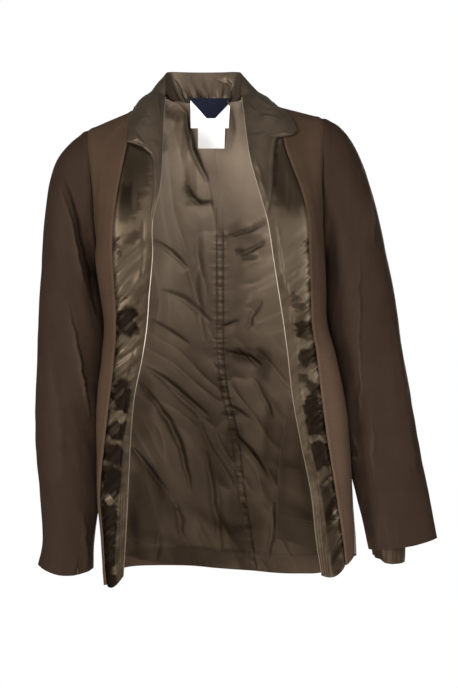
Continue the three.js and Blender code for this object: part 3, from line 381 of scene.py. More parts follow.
def crease_field(p: Array, creases: Sequence) -> tuple[Array, Array]:
    """Height and shade of soft creases at points, measured in the plane of the photo.

    Args:
        p: (..., 3) points in millimetres.
        creases: rows of (points, height, width).

    Returns:
        Heights in millimetres, and the share of light lost on their steep sides, for painted shade.
    """
    warp = 2.2 * noise(p[..., 0] / 17, p[..., 2] / 13, 51)
    xz = p[..., [0, 2]] + np.stack([warp, -0.7 * warp], axis=-1)
    total, shade = np.zeros(p.shape[:-1]), np.zeros(p.shape[:-1])
    for line, height, width in creases:
        best, run, turn = near_line(xz, line)
        w = width * (0.5 + 0.5 * np.sin(math.pi * run))
        fade = np.sin(math.pi * np.clip(run, 0.0, 1.0)) ** 0.6
        skew = np.where(turn > 0, 3.0, 0.5)
        ridge = 0.5 * np.exp(-((best / (0.5 * w)) ** 2)) + 0.4 * np.exp(-((best / (w * skew)) ** 2))
        total = total + height * fade * ridge
        steep = np.exp(-(((-turn * best - 0.6 * w) / (0.4 * w)) ** 2))
        shade = np.maximum(shade, min(1.0, abs(height) / 6) * fade * steep)
    return total, shade


def painted_light_patches(p: Array, spots: Sequence, ragged: float, seed: int) -> Array:
    """Painted light and shade in squarish patches with torn outlines.

    Args:
        p: (..., 3) points in millimetres.
        spots: rows of (x, z, half width, half height, darkness), bright where negative.
        ragged: how far their outlines stray, in millimetres.
        seed: seed of their outlines.
    """
    x, z = p[..., 0], p[..., 2]
    stray = 0.8 * noise(z / 2.9, x / 15, seed) + noise(z / 7.5, x / 12, seed + 1)
    x, z = x + ragged * stray, z + 0.8 * ragged * noise(x / 6, z / 13, seed + 2)
    tone = np.ones(p.shape[:-1])
    for place_x, place_z, wide, high, dark in spots:
        far = (np.abs((x - place_x) / wide) ** 3 + np.abs((z - place_z) / high) ** 3) ** (1 / 3)
        inside = 1 - smooth(0.72, 1.18, far)
        tone = tone * (1 - dark * inside) if dark > 0 else np.maximum(tone, -dark * inside)
    return tone


def drape(p: Array, angle: float, along: float, across: float, seed: int) -> Array:
    """Long soft folds with sharp crests, from 0 to 1.

    Args:
        p: (..., 3) points in millimetres.
        angle: direction that the folds run in, in the plane of the photo, in degrees.
        along: their length.
        across: their spacing.
        seed: seed of their places.
    """
    a = math.radians(angle)
    u = p[..., 0] * math.cos(a) + p[..., 2] * math.sin(a)
    v = -p[..., 0] * math.sin(a) + p[..., 2] * math.cos(a)
    v = v + 6 * noise(u / 60, v / 40, seed + 5)
    return (1 - np.abs(noise(u / along, v / across, seed))) ** 3


def armhole(side: Side, degrees: Array) -> Array:
    """Points on an armhole; 0 is the shoulder, 90 the front, 180 the underarm."""
    top, bottom, depth = ARMHOLES[side]
    a = np.radians(degrees)[..., None]
    centre = (np.array(top, float) + bottom) / 2
    up = np.array(top, float) - centre
    return centre + up * np.cos(a) + np.array([0, -depth, 0]) * np.sin(a)


def arc(p: Array, axis: int) -> Array:
    """Length along a grid from its first row or column, in millimetres."""
    d = np.linalg.norm(np.diff(p, axis=axis), axis=-1)
    zero = np.zeros_like(d[:1] if axis == 0 else d[:, :1])
    return np.concatenate([zero, np.cumsum(d, axis=axis)], axis=axis)


def grid_normals(p: Array, sign: float) -> Array:
    """Unit normals of a grid of points, turned outward by sign."""
    return unit(np.cross(np.gradient(p, axis=1), np.gradient(p, axis=0))) * sign


def lining_light(z: Array) -> Array:
    """Painted light and shade: share of light that the hollow of the body keeps at a height."""
    return np.interp(z, (-650, -560, -450, -330, -200, -60, 30), (0.36, 0.4, 0.52, 0.8, 1.4, 2.15, 2.1))


class Panel:
    """One cut panel of the body as a smooth surface over reach and level."""

    def __init__(self, side: Side, face: Face) -> None:
        self.side, self.face = side, face
        front = FRONT_LEFT if side is Side.LEFT else FRONT_RIGHT
        rows = front if face is Face.FRONT else (BACK_LEFT if side is Side.LEFT else BACK_RIGHT)
        names = ("edge", "seam", "turn", "flank") if face is Face.FRONT else ("nape", "neck", "blade", "turn")
        neck, top = np.array(NECK_POINTS[side], float), np.array(ARMHOLES[side][0], float)
        self.columns = []
        if face is Face.BACK:
            self.columns.append(np.array(BACK_CENTRE, float))
        for k, name in enumerate(names):
            first = neck + (top - neck) * SHOULDER_SHARES[name] if name in SHOULDER_SHARES else NAPE_TOP[side]
            self.columns.append(np.array([first] + [row[k] for row in rows], float))
        closed = side is Side.LEFT or face is Face.FRONT
        seam = [
            (front if closed or level <= VENT_LEVEL else rows)[level - 1][4]
            for level in range(ARMHOLE_LEVEL + 1, HEM_LEVEL + 1)
        ]
        self.seam = np.array([ARMHOLES[side][1]] + seam, float)
        self.sign = 1.0 if (side is Side.LEFT) == (face is Face.FRONT) else -1.0
        self.corner = 2 if face is Face.BACK else -1
        self.reach = len(self.columns)

    def side_edge(self, levels: Array) -> Array:
        """The armhole above the underarm and the side seam below it."""
        turn = 1 if self.face is Face.FRONT else -1
        upper = armhole(self.side, turn * 180 * np.clip(levels, 0, ARMHOLE_LEVEL) / ARMHOLE_LEVEL)
        lower = through(self.seam[:, None], np.clip(levels - ARMHOLE_LEVEL, 0, 8))[0]
        return np.where((levels <= ARMHOLE_LEVEL)[:, None], upper, lower)

    def points(self, reaches: Array, levels: Array) -> Array:
        """(levels, reaches, 3) points in millimetres."""
        guides = [through(column[:, None], levels)[0] for column in self.columns]
        guides.append(self.side_edge(levels))
        p = through(np.array(guides), reaches, self.corner, 1 - smooth(0, 1, levels))
        if self.face is Face.FRONT:
            across = np.sin(math.pi * np.clip(reaches, 0, 1))
            p[..., 2] -= BAND_HEM_DROP * across * smooth(14, 15, levels)[:, None]
        return p

    def normals(self, p: Array, reaches: Array, levels: Array) -> Array:
        """Outward normals, shared along the shoulder seam."""
        n = grid_normals(p, self.sign)
        line = unit(np.array(ARMHOLES[self.side][0], float) - NECK_POINTS[self.side])
        up = unit(np.array([0, 0, 1.0]) - line * line[2])
        share = (1 - smooth(0, 0.3, levels))[:, None] * (
            smooth(self.corner - 1, self.corner, reaches) if self.corner > 0 else np.ones_like(reaches)
        )
        return unit(n * (1 - share[..., None]) + up * share[..., None])


@dataclass(frozen=True)
class Finish:
    """A cloth's colour and surface.

    Attributes:
        slot: the record's material slot.
        color: base colour, linear RGB.
        shade: darker colour mixed in by the pattern.
        roughness: surface roughness.
        sheen: strength of the nap's sheen.
        aniso: stretch of the highlight across the weave.
        rib: pitch of the raised cross ribs in metres, 0 for none.
        rib_strength: strength of the rib's relief.
        crinkle: strength of the fine crinkle.
        metal: share of tinted mirror shine.
    """

    slot: str
    color: tuple
    shade: tuple
    roughness: float
    sheen: float = 0.0
    aniso: float = 0.0
    rib: float = 0.0
    rib_strength: float = 0.0
    crinkle: float = 0.0
    metal: float = 0.0


SHELL = Finish("shell", (0.0333, 0.0204, 0.0134), (0.0296, 0.0181, 0.0119), 0.7, 0.0, 0.0, 0.0021, 0.3, 0.04)
# The sleeves' shell cloth at half the fronts' colour: painted shade.
SHADED_SLEEVE_SHELL = Finish("shell", (0.0167, 0.0101, 0.0067), (0.0148, 0.0089, 0.0059), 0.68, 0.0, 0.0, 0.0021, 0.3, 0.04)
SATIN = Finish("satin", (0.047, 0.0355, 0.0245), (0.043, 0.032, 0.022), 0.4, 0.0, 0.4, metal=0.55)
# The satin painted pale for the fold along each band's edge: a painted highlight.
EDGE_HIGHLIGHT = Finish("satin", (0.26, 0.235, 0.20), (0.23, 0.205, 0.17), 0.5)
LINING = Finish("lining", (0.0745, 0.0545, 0.038), (0.0685, 0.05, 0.035), 0.48, 0.0, 0.3, metal=0.35, crinkle=0.03)
# The collar's satin painted darker than the bands': painted shade on its upward faces.
COLLAR = Finish("satin", (0.0355, 0.0263, 0.0185), (0.0318, 0.0237, 0.0165), 0.42, 0.0, 0.2, metal=0.5, crinkle=0.05)
THREAD = Finish("lining", (0.03, 0.022, 0.016), (0.024, 0.018, 0.012), 0.6)
NAVY = Finish("label_navy", (0.006, 0.007, 0.014), (0.005, 0.006, 0.012), 0.6, rib=0.0009, rib_strength=0.2)
WHITE = Finish("label_white", (0.75, 0.745, 0.76), (0.72, 0.715, 0.73), 0.8, rib=0.0012, rib_strength=0.1)


# Painted shade in deep hollows of the back lining: x, z, half width, half height, darkness
LINING_HOLLOW_SHADE = (
    (63, -198, 15, 5, 0.5), (48, -188, 8, 4, 0.4), (36, -166, 12, 3, 0.3), (72, -172, 16, 8, 0.25),
    (-33, -20, 6, 44, 0.4), (-24, -84, 9, 30, 0.35), (-12, -118, 22, 5, 0.45), (-46, 8, 14, 8, 0.3),
    (-66, -30, 8, 16, 0.4), (24, -392, 7, 5, 0.45), (20, -378, 5, 4, 0.4), (34, -428, 14, 5, 0.4),
    (62, -342, 26, 12, 0.35), (84, -355, 12, 26, 0.35), (100, -470, 16, 60, 0.35), (40, -470, 14, 30, 0.35),
    (-40, -640, 90, 16, 0.35), (-100, -420, 22, 50, 0.3), (-90, -560, 26, 60, 0.3), (56, -590, 30, 50, 0.25),
)
# Painted long soft shadows of the back lining: points (x, z), half width, darkness
LINING_SHADOWS = (
    (((-60, 13), (-36, 8), (-24, -30), (-4, -76)), 7, 0.5),
    (((-34, -60), (-30, -100), (-12, -114), (4, -112)), 5, 0.4),
    (((90, -146), (60, -160), (30, -171)), 7, 0.4),
    (((90, -180), (52, -187)), 6, 0.4),
    (((84, -205), (56, -212)), 4, 0.3),
    (((-60, -388), (-20, -428), (2, -470), (30, -530)), 13, 0.35),
    (((-96, -385), (-66, -427), (-39, -481)), 5, 0.35),
    (((-110, -481), (-75, -523), (-54, -577), (-42, -598)), 8, 0.4),
    (((-34, -560), (4, -584), (42, -600)), 9, 0.4),
    (((-110, -600), (-60, -612), (-20, -625)), 7, 0.25),
    (((34, -338), (78, -350), (118, -356)), 12, 0.35),
    (((37, -454), (80, -496), (100, -526)), 7, 0.35),
    (((16, -594), (48, -600), (80, -592)), 9, 0.4),
    (((92, -420), (84, -500), (92, -580)), 9, 0.3),
    (((-106, -552), (-108, -600), (-98, -645)), 9, 0.5),
    (((-60, 16), (-48, 2), (-44, -30)), 6, 0.35),
)
# Painted shadows the same way on the lining that shows at the open vent
VENT_SHADOWS = (
    (((116, -420), (112, -520), (114, -570)), 5, 0.3), (((112, -498), (138, -505)), 6, 0.5),
    (((128, -560), (158, -582)), 8, 0.45), (((132, -440), (142, -520), (158, -600)), 9, 0.4),
)
# Painted sheen patches of the bands, standing in for the satin's reflections: x, z, half width, half height, darkness,
# or brightness where negative
BAND_PAINTED_SHEEN = {
    Side.LEFT: (
        (-104, -84, 30, 62, 0.55), (-112, -134, 22, 28, 0.5), (-100, -182, 13, 9, 0.4), (-121, -196, 6, 14, 0.5),
        (-106, -295, 14, 21, 0.93), (-117, -262, 5, 5, 0.4), (-113, -398, 17, 25, 0.95), (-118, -443, 18, 12, 0.93),
        (-123, -476, 19, 16, 0.95), (-126, -513, 18, 25, 0.96), (-129, -559, 16, 30, 0.93), (-132, -606, 14, 40, 0.93),
        (-132, -647, 13, 20, 0.88), (-118, -425, 11, 6, -0.95), (-124, -458, 8, 5, -0.75), (-124, -491, 7, 4, -0.4),
        (-129, -536, 11, 5, -0.9), (-129, -583, 6, 3, -0.4),
    ),
    Side.RIGHT: (
        (120, -92, 32, 54, 0.6), (139, -186, 5, 9, 0.5), (124, -264, 8, 7, 0.5), (133, -274, 9, 6, 0.6),
        (135, -306, 13, 13, 0.8), (141, -345, 13, 13, 0.78), (136, -374, 9, 9, 0.7), (150, -389, 12, 12, 0.78),
        (147, -410, 16, 13, 0.85), (152, -437, 20, 20, 0.88), (156, -475, 20, 21, 0.88), (156, -498, 16, 14, 0.84),
        (166, -538, 13, 34, 0.8), (173, -605, 16, 38, 0.6), (152, -456, 14, 5, -0.9), (163, -506, 8, 13, -0.6),
    ),
}
# Painted grey streak of light down the middle of the satin under each side of the collar
COLLAR_STREAKS = {Side.LEFT: (-97, -118, 6, 48), Side.RIGHT: (112, -122, 6, 44)}


def material(name: str, finish: Finish) -> bpy.types.Material:
    """Cloth material from a finish, patterned over the piece's own UV map in metres."""
    m = bpy.data.materials.new(name)
    m.use_nodes = True
    nodes, links = m.node_tree.nodes, m.node_tree.links
    nodes.clear()
    out = nodes.new("ShaderNodeOutputMaterial")
    body = nodes.new("ShaderNodeBsdfPrincipled")
    body.inputs["Roughness"].default_value = finish.roughness
    body.inputs["Sheen Weight"].default_value = finish.sheen
    body.inputs["Sheen Roughness"].default_value = 0.5
    body.inputs["Anisotropic"].default_value = finish.aniso
    body.inputs["Metallic"].default_value = finish.metal
    body.inputs["Specular IOR Level"].default_value = 0.03
    uv = nodes.new("ShaderNodeUVMap")
    uv.uv_map = "UVMap"
    cloud = nodes.new("ShaderNodeTexNoise")
    cloud.inputs["Scale"].default_value = 26.0
    cloud.inputs["Detail"].default_value = 4.0
    links.new(uv.outputs["UV"], cloud.inputs["Vector"])
    mix = nodes.new("ShaderNodeMix")
    mix.data_type = "RGBA"
    mix.inputs["A"].default_value = (*finish.shade, 1)
    mix.inputs["B"].default_value = (*finish.color, 1)
    ramp = nodes.new("ShaderNodeMapRange")
    ramp.inputs["From Min"].default_value = 0.3
    ramp.inputs["From Max"].default_value = 0.6
    links.new(cloud.outputs["Fac"], ramp.inputs["Value"])
    links.new(ramp.outputs["Result"], mix.inputs["Factor"])
    # The base colour is multiplied by the Tone attribute: painted light and shade.
    tone = nodes.new("ShaderNodeAttribute")
    tone.attribute_name = "Tone"
    toned = nodes.new("ShaderNodeMix")
    toned.data_type, toned.blend_type = "RGBA", "MULTIPLY"
    toned.inputs["Factor"].default_value = 1.0
    links.new(mix.outputs["Result"], toned.inputs["A"])
    links.new(tone.outputs["Color"], toned.inputs["B"])
    links.new(toned.outputs["Result"], body.inputs["Base Color"])
    height = None
    if finish.crinkle:
        fine = nodes.new("ShaderNodeTexNoise")
        fine.inputs["Scale"].default_value = 150.0
        fine.inputs["Detail"].default_value = 5.0
        fine.inputs["Distortion"].default_value = 0.6
        links.new(uv.outputs["UV"], fine.inputs["Vector"])
        height = nodes.new("ShaderNodeBump")
        height.inputs["Strength"].default_value = finish.crinkle
        height.inputs["Distance"].default_value = 0.004
        links.new(fine.outputs["Fac"], height.inputs["Height"])
    if finish.rib:
        rib = nodes.new("ShaderNodeTexWave")
        rib.wave_type, rib.bands_direction = "BANDS", "Y"
        rib.inputs["Scale"].default_value = 0.314 / finish.rib
        rib.inputs["Distortion"].default_value = 0.4
        rib.inputs["Detail Scale"].default_value = 3.0
        links.new(uv.outputs["UV"], rib.inputs["Vector"])
        raised = nodes.new("ShaderNodeBump")
        raised.inputs["Strength"].default_value = finish.rib_strength
        raised.inputs["Distance"].default_value = 0.0006
        links.new(rib.outputs["Fac"], raised.inputs["Height"])
        if height is not None:
            links.new(height.outputs["Normal"], raised.inputs["Normal"])
        height = raised
    if height is not None:
        links.new(height.outputs["Normal"], body.inputs["Normal"])
    links.new(body.outputs["BSDF"], out.inputs["Surface"])
    return m


def paint_light_and_shade(mesh: bpy.types.Mesh, tone: Array) -> None:
    """Stores the tone, its painted light and shade, warmer where deeper, on a mesh whose points repeat it once per
    layer.
    """
    values = np.ones((len(mesh.vertices), 4), np.float32)
    shade = np.clip(np.resize(tone, len(mesh.vertices)), 0.02, None)
    for channel, power in enumerate((1.0, 1.07, 1.16)):
        values[:, channel] = shade**power
    mesh.color_attributes.new("Tone", "FLOAT_COLOR", "POINT").data.foreach_set("color", values.ravel())


class Wardrobe:
    """Makes cloth pieces and keeps their materials."""

    def __init__(self) -> None:
        self.materials: dict[Finish, bpy.types.Material] = {}

    def finish(self, finish: Finish) -> bpy.types.Material:
        """The one material of a finish."""
        if finish not in self.materials:
            self.materials[finish] = material(f"cloth_{finish.slot}_{len(self.materials)}", finish)
        return self.materials[finish]

    def place(self, obj: bpy.types.Object, finish: Finish, nodes: Sequence[str] = ()) -> bpy.types.Object:
        """Adds a finished object to the scene, on the body, in place of its solids."""
        bpy.context.scene.collection.objects.link(obj)
        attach(obj, "root")
        if nodes:
            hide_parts(*nodes)
        LOG.info("%s: %d faces", obj.name, len(obj.data.polygons))
        return obj

    def cloth(
        self,
        name: str,
        p: Array,
        n: Array,
        finish: Finish,
        nodes: Sequence[str],
        held: str,
        rests_on: Sequence[str] = (),
        base: Optional[Array] = None,
        thickness: float = THIN,
        ring: bool = False,
        tone: Optional[Array] = None,
    ) -> bpy.types.Object:
        """A thin closed shell on a grid of points.

        Args:
            p: (R, C, 3) outer points in millimetres.
            n: their outward normals.
            nodes: the solids it stands for.
            held: how the sheet is held; not used.
            rests_on: what it hangs from or lies on; not used.
            base: the smooth form it was cut for, for the flat size.
            ring: whether the columns close into a ring.
            tone: (R, C) share of the colour kept: painted light and shade.
        """
        rows, columns = p.shape[:2]
        points = np.concatenate([p.reshape(-1, 3), (p - n * thickness).reshape(-1, 3)]) * MM
        index = np.arange(rows * columns).reshape(rows, columns)
        if ring:
            index = np.concatenate([index, index[:, :1]], axis=1)
        a, b, c, d = index[:-1, :-1], index[1:, :-1], index[1:, 1:], index[:-1, 1:]
        outer = np.stack([a, b, c, d], axis=-1).reshape(-1, 4)
        k = rows * columns
        inner = outer[:, ::-1] + k
        rims = [(index[0, 1:], index[0, :-1]), (index[-1, :-1], index[-1, 1:])]
        if not ring:
            rims += [(index[:-1, 0], index[1:, 0]), (index[1:, -1], index[:-1, -1])]
        rim = np.concatenate([np.stack([s, e, e + k, s + k], axis=-1) for s, e in rims])
        faces = np.concatenate([outer, inner, rim[:, ::-1]])
        tri = np.concatenate([faces[:, [0, 1, 2]], faces[:, [0, 2, 3]]])
        volume = np.einsum("ij,ij->", points[tri[:, 0]], np.cross(points[tri[:, 1]], points[tri[:, 2]]))
        if volume < 0:
            faces = faces[:, ::-1]
        mesh = bpy.data.meshes.new(name)
        mesh.from_pydata(points.tolist(), [], faces.tolist())
        flat = p if base is None else base
        u, v = arc(flat, 1) * MM, arc(flat, 0) * MM
        u = u - u[:, columns // 2 : columns // 2 + 1]
        v = np.broadcast_to(v.mean(axis=1, keepdims=True), u.shape)
        uv = np.tile(np.stack([u.ravel(), v.ravel()], axis=-1), (2, 1))
        layer = mesh.uv_layers.new(name="UVMap")
        loops = np.zeros(len(mesh.loops), np.int32)
        mesh.loops.foreach_get("vertex_index", loops)
        layer.data.foreach_set("uv", uv[loops].astype(np.float32).ravel())
        paint_light_and_shade(mesh, np.ones(rows * columns) if tone is None else np.broadcast_to(tone, (rows, columns)).ravel())
        mesh.materials.append(self.finish(finish))
        mesh.shade_smooth()
        mesh.set_sharp_from_angle(angle=RIM_ANGLE)
        obj = bpy.data.objects.new(name, mesh)
        self.place(obj, finish, nodes)
        quads = flat if not ring else np.concatenate([flat, flat[:, :1]], axis=1)
        area = 0.5 * np.linalg.norm(
            np.cross(quads[1:, 1:] - quads[:-1, :-1], quads[1:, :-1] - quads[:-1, 1:]), axis=-1
        ).sum() * MM * MM
        width, length = float(arc(quads, 1)[:, -1].max()) * MM, float(arc(quads, 0)[-1].max()) * MM
        area = float(min(max(area, 0.3 * width * length), width * length))
        return obj


@dataclass(frozen=True)
class BandLook:
    """How one satin band lies.

    Attributes:
        slope: slant of the puckers.
        hollow: depth of the hollow under the collar.
        hollow_to: level where the hollow ends.
        seed: seed of its folds.
        shine: share of the satin's colour kept in its light: painted shade over the whole band.
        margin: heights, and widths of the plain strip beside the edge there.
    """

    slope: float
    hollow: float
    hollow_to: float
    seed: int
    shine: float
    margin: tuple


# Painted light on the fold of each band's edge, as a share of its colour, over heights
EDGE_LIGHT = {
    Side.LEFT: ((-650, -440, -400, -345, -325, -230, -190, -110, 20), (0.3, 0.28, 0.36, 0.7, 1.25, 1.1, 0.5, 0.7, 0.5)),
    Side.RIGHT: ((-650, -460, -380, -250, -140, -60, 20), (0.3, 0.3, 0.45, 0.9, 0.75, 0.95, 0.6)),
}
BANDS = {
    Side.LEFT: BandLook(0.8, 2.0, 5.4, 11, 0.75, ((-620, -460, -420, -200), (15, 10, 6, 6))),
    Side.RIGHT: BandLook(-0.8, 3.5, 5.2, 23, 0.98, ((-620, -460, -420, -200), (16, 13, 12, 12))),
}


@dataclass
class Body:
    """Fronts, satin bands, backs and their linings of one half."""

    side: Side
    wardrobe: Wardrobe

    def build(self) -> None:
        """Makes every piece of this half."""
        tag = self.side.value
        front, back = Panel(self.side, Face.FRONT), Panel(self.side, Face.BACK)
        self.front_shell(front, tag)
        self.band(front, tag)
        self.front_lining(front, tag)
        self.back_shell(back, tag)
        self.back_lining(back, tag)

    def rows(self, count: int) -> Array:
        """Levels from shoulder to hem, closer where the levels are close."""
        return np.concatenate([np.linspace(0, 7, count // 3, endpoint=False), np.linspace(7, 15, count - count // 3)])

    def front_shell(self, panel: Panel, tag: str) -> None:
        """The brown front, its free edge rolled a little over the band."""
        levels, reaches = self.rows(180), np.linspace(1, 4, 58)
        base = panel.points(reaches, levels)
        n = panel.normals(base, reaches, levels)
        d = arc(base, 1)
        to_side = d[:, -1:] - d
        s = arc(base, 0)
        roll = 1.5 * np.exp(-((d / 5) ** 2)) * (1 - 0.8 * np.exp(-((d / 1.3) ** 2)))
        seam = -1.2 * np.exp(-((to_side / 2.6) ** 2))
        puff = 0.5 * np.exp(-(((to_side - 6) / 4) ** 2))
        ease = 0.9 * noise(s / 55, d / 38, 5) + 0.35 * noise(s / 21, d / 30, 6)
        pull = 0.35 * noise(s / 5.5 + d / 9, d / 60, 7) * np.exp(-d / 8) * smooth(6, 8, levels)[:, None]
        creases = ((((-112, -14), (-147, -49)), 2.2, 6),) if self.side is Side.LEFT else ()
        # Painted light: lighter along the rolled edge and towards the hem, scaled for each side by how the front is
        # lit.
        light = 1 + 0.22 * np.exp(-(((d - 2.2) / 1.8) ** 2)) + 0.1 * smooth(-300, -420, base[..., 2])
        light = light * (0.88 if self.side is Side.LEFT else 0.82 + 0.34 * smooth(-220, -380, base[..., 2]))
        lift = roll + seam + puff + ease * smooth(0, 1, levels)[:, None] + pull + crease_field(base, creases)[0]
        self.wardrobe.cloth(
            f"cloth_front_{tag}", base + n * lift[..., None], n, SHELL, [f"front_{tag}"], "hung",
            [f"cloth_back_{tag}"], base, tone=light,
        )

    def band(self, panel: Panel, tag: str) -> None:
        """The satin band: puckers at its seam, loose waves across it, a flat margin at its edge."""
        look = BANDS[self.side]
        levels, reaches = self.rows(400), np.linspace(0, 1.015, BAND_COLUMNS)
        base = panel.points(reaches, levels)
        n = panel.normals(base, reaches, levels)
        e = arc(base, 1)
        d = np.clip(e[:, -1:] - e, 0, None)
        wide = e[:, -1:]
        s = np.broadcast_to(arc(base, 0)[:, -1:], d.shape)
        level = levels[:, None]
        gate = smooth(5.4, 7, level) * (1 - smooth(14.3, 14.9, level))
        slant = s + look.slope * d
        pucker = noise(slant / 4.3, d / 40, look.seed) + 0.6 * noise(slant / 2.6, d / 30, look.seed + 1)
        pucker = 1.3 * pucker * np.exp(-((d / 10) ** 1.2)) * gate
        margin = smooth(5, 17, e)
        pleat = 0.35 * np.sin(2 * math.pi * (e + 0.02 * s) / 3.4) * (1 - smooth(11, 14, e)) * smooth(12.4, 13.2, level)
        wave = 2.6 * noise(slant / 24, d / 34, look.seed + 2) + 1.1 * noise(slant / 11, d / 19, look.seed + 3)
        wave = wave * gate * margin * (0.35 + 0.65 * np.sin(math.pi * np.clip(d / wide, 0, 1)))
        groove = -0.7 * np.exp(-(((e - 13) / 2.2) ** 2)) * smooth(5, 6, level)
        sink = -1.4 * np.exp(-((d / 3.5) ** 2))
        under = smooth(0.4, 2.2, level) * (1 - smooth(look.hollow_to - 1.3, look.hollow_to, level))
        across = np.clip(d / (0.8 * wide), 0, 1)
        hollow = -look.hollow * under * np.sin(math.pi * across) ** 2
        under_collar = 0.2 + 0.8 * smooth(2, 5, level)
        lift = pucker + wave * under_collar + groove + sink + hollow + pleat
        lift = np.clip(lift, -8, 3.6)
        # Painted reflections and shade: a grey streak of light under the collar, sheen patches, sheen mottle lower
        # down, highlights on the pucker crests, shade at the seam, and a per-side share of light.
        x, z, half, high = COLLAR_STREAKS[self.side]
        streak = np.exp(-(((base[..., 0] - x) / half) ** 2)) * (1 - smooth(0.7, 1.1, np.abs(base[..., 2] - z) / high))
        tone = painted_light_patches(base, BAND_PAINTED_SHEEN[self.side], 5.6, look.seed + 7)
        tone = np.maximum(tone, 0.5 * streak)
        painted_sheen_mottle = smooth(0.05, 0.55, noise(slant / 8, d / 17, look.seed + 11)) * smooth(-225, -290, base[..., 2])
        tone = tone * (1 - 0.42 * painted_sheen_mottle)
        plain = np.interp(base[..., 2], *look.margin)
        strip = (1 - smooth(-1.5, 1.5, e - plain)) * smooth(4.5, 6, level)
        tone = tone * (1 - strip) + strip * (0.3 * tone + 0.5)
        tone = tone * (1 + 0.2 * noise(slant / 5, d / 22, look.seed + 9) * gate + 0.22 * pucker)
        tone = look.shine * np.clip(tone, 0.12, 1.3) * (1 - 0.35 * np.exp(-((d / 1.6) ** 2)))
        self.wardrobe.cloth(
            f"cloth_band_{tag}", base + n * lift[..., None], n, SATIN, [f"band_{tag}"], "gathered",
            [f"cloth_front_{tag}"], base, tone=tone,
        )
        self.edge_roll(panel, tag)

    def edge_roll(self, panel: Panel, tag: str) -> None:
        """The thin fold along the free edge of the band, its light colour a painted highlight."""
        levels = self.rows(300)
        reaches = np.array([0.0, 0.02])
        base = panel.points(reaches, levels)
        n = panel.normals(base, reaches, levels)[:, 0]
        line = base[:, 0] + 0.35 * noise(arc(base, 0)[:, 0] / 14, np.zeros(len(levels)), 31)[:, None] * n
        outward = unit(base[:, 0] - base[:, 1])
        line = line - n * 0.2 - outward * 0.4
        along = unit(np.gradient(line, axis=0))
        side = unit(np.cross(along, n))
        turns = np.linspace(0, 2 * math.pi, 10, endpoint=False)
        radius = 0.62
        ring = line[:, None] + radius * (
            n[:, None] * np.cos(turns)[None, :, None] + side[:, None] * np.sin(turns)[None, :, None]
        )
        index = np.arange(ring.shape[0] * 10).reshape(-1, 10)
        index = np.concatenate([index, index[:, :1]], axis=1)
        faces = np.stack([index[:-1, :-1], index[1:, :-1], index[1:, 1:], index[:-1, 1:]], axis=-1).reshape(-1, 4)
        caps = [list(range(9, -1, -1)), [len(ring) * 10 - 10 + k for k in range(10)]]
        mesh = bpy.data.meshes.new(f"edge_roll_{tag}")
        mesh.from_pydata((ring.reshape(-1, 3) * MM).tolist(), [], faces.tolist() + caps)
        mesh.uv_layers.new(name="UVMap")
        # Painted highlight along the fold, its strength by height.
        paint_light_and_shade(mesh, np.repeat(np.interp(line[:, 2], *EDGE_LIGHT[self.side]), 10))
        mesh.materials.append(self.wardrobe.finish(EDGE_HIGHLIGHT))
        mesh.shade_smooth()
        self.wardrobe.place(bpy.data.objects.new(f"edge_roll_{tag}", mesh), EDGE_HIGHLIGHT)

    def front_lining(self, panel: Panel, tag: str) -> None:
        """The lining inside the front, seen at the open vent."""
        levels, reaches = self.rows(130), np.linspace(0.03, 3.99, FRONT_LINING_COLUMNS)
        base = panel.points(reaches, levels)
        n = panel.normals(base, reaches, levels)
        s, d = arc(base, 0), arc(base, 1)
        sag = 1.6 * np.clip(noise(s / 34, d / 22, 41), 0, 1) + 0.7 * np.clip(noise(s / 15, d / 12, 42), 0, 1)
        look = BANDS[self.side]
        hollow = look.hollow * (reaches < 1.15)[None, :] * smooth(0.4, 1.4, levels)[:, None]
        hollow = hollow * (1 - smooth(5.2, 5.9, levels))[:, None]
        facing = -0.8 * np.exp(-(((s - s[-1:] + 30) / 2.0) ** 2))
        lift = -LINING_INSET - sag * smooth(6, 8, levels)[:, None] - hollow + facing * 0.6
        # Painted light and shade: the lining a third darker, lighter high and darker low, with painted shadows at the
        # vent.
        self.wardrobe.cloth(
            f"cloth_lining_front_{tag}", base + n * lift[..., None], n, LINING, [f"lining_front_{tag}"], "hung",
            [f"cloth_front_{tag}"], base, tone=0.68 * lining_light(base[..., 2]) * painted_shadows(base, VENT_SHADOWS, 43),
        )

    def back_shell(self, panel: Panel, tag: str) -> None:
        """The brown back."""
        levels, reaches = self.rows(130), np.linspace(0, 5, 60)
        base = panel.points(reaches, levels)
        n = panel.normals(base, reaches, levels)
        d, s = arc(base, 1), arc(base, 0)
        to_side = d[:, -1:] - d
        seam = -0.9 * np.exp(-((to_side / 2.6) ** 2)) - 0.8 * np.exp(-((d / 2.2) ** 2))
        ease = 1.2 * noise(s / 60, d / 34, 15) + 0.5 * noise(s / 24, d / 22, 16)
        ease = ease * smooth(0.3, 2, levels)[:, None]
        lift = seam + np.clip(ease, -1.2, 2)
        self.wardrobe.cloth(
            f"cloth_back_{tag}", base + n * lift[..., None], n, SHELL, [f"back_{tag}"], "hung",
            ["cloth_collar_stand"], base,
        )

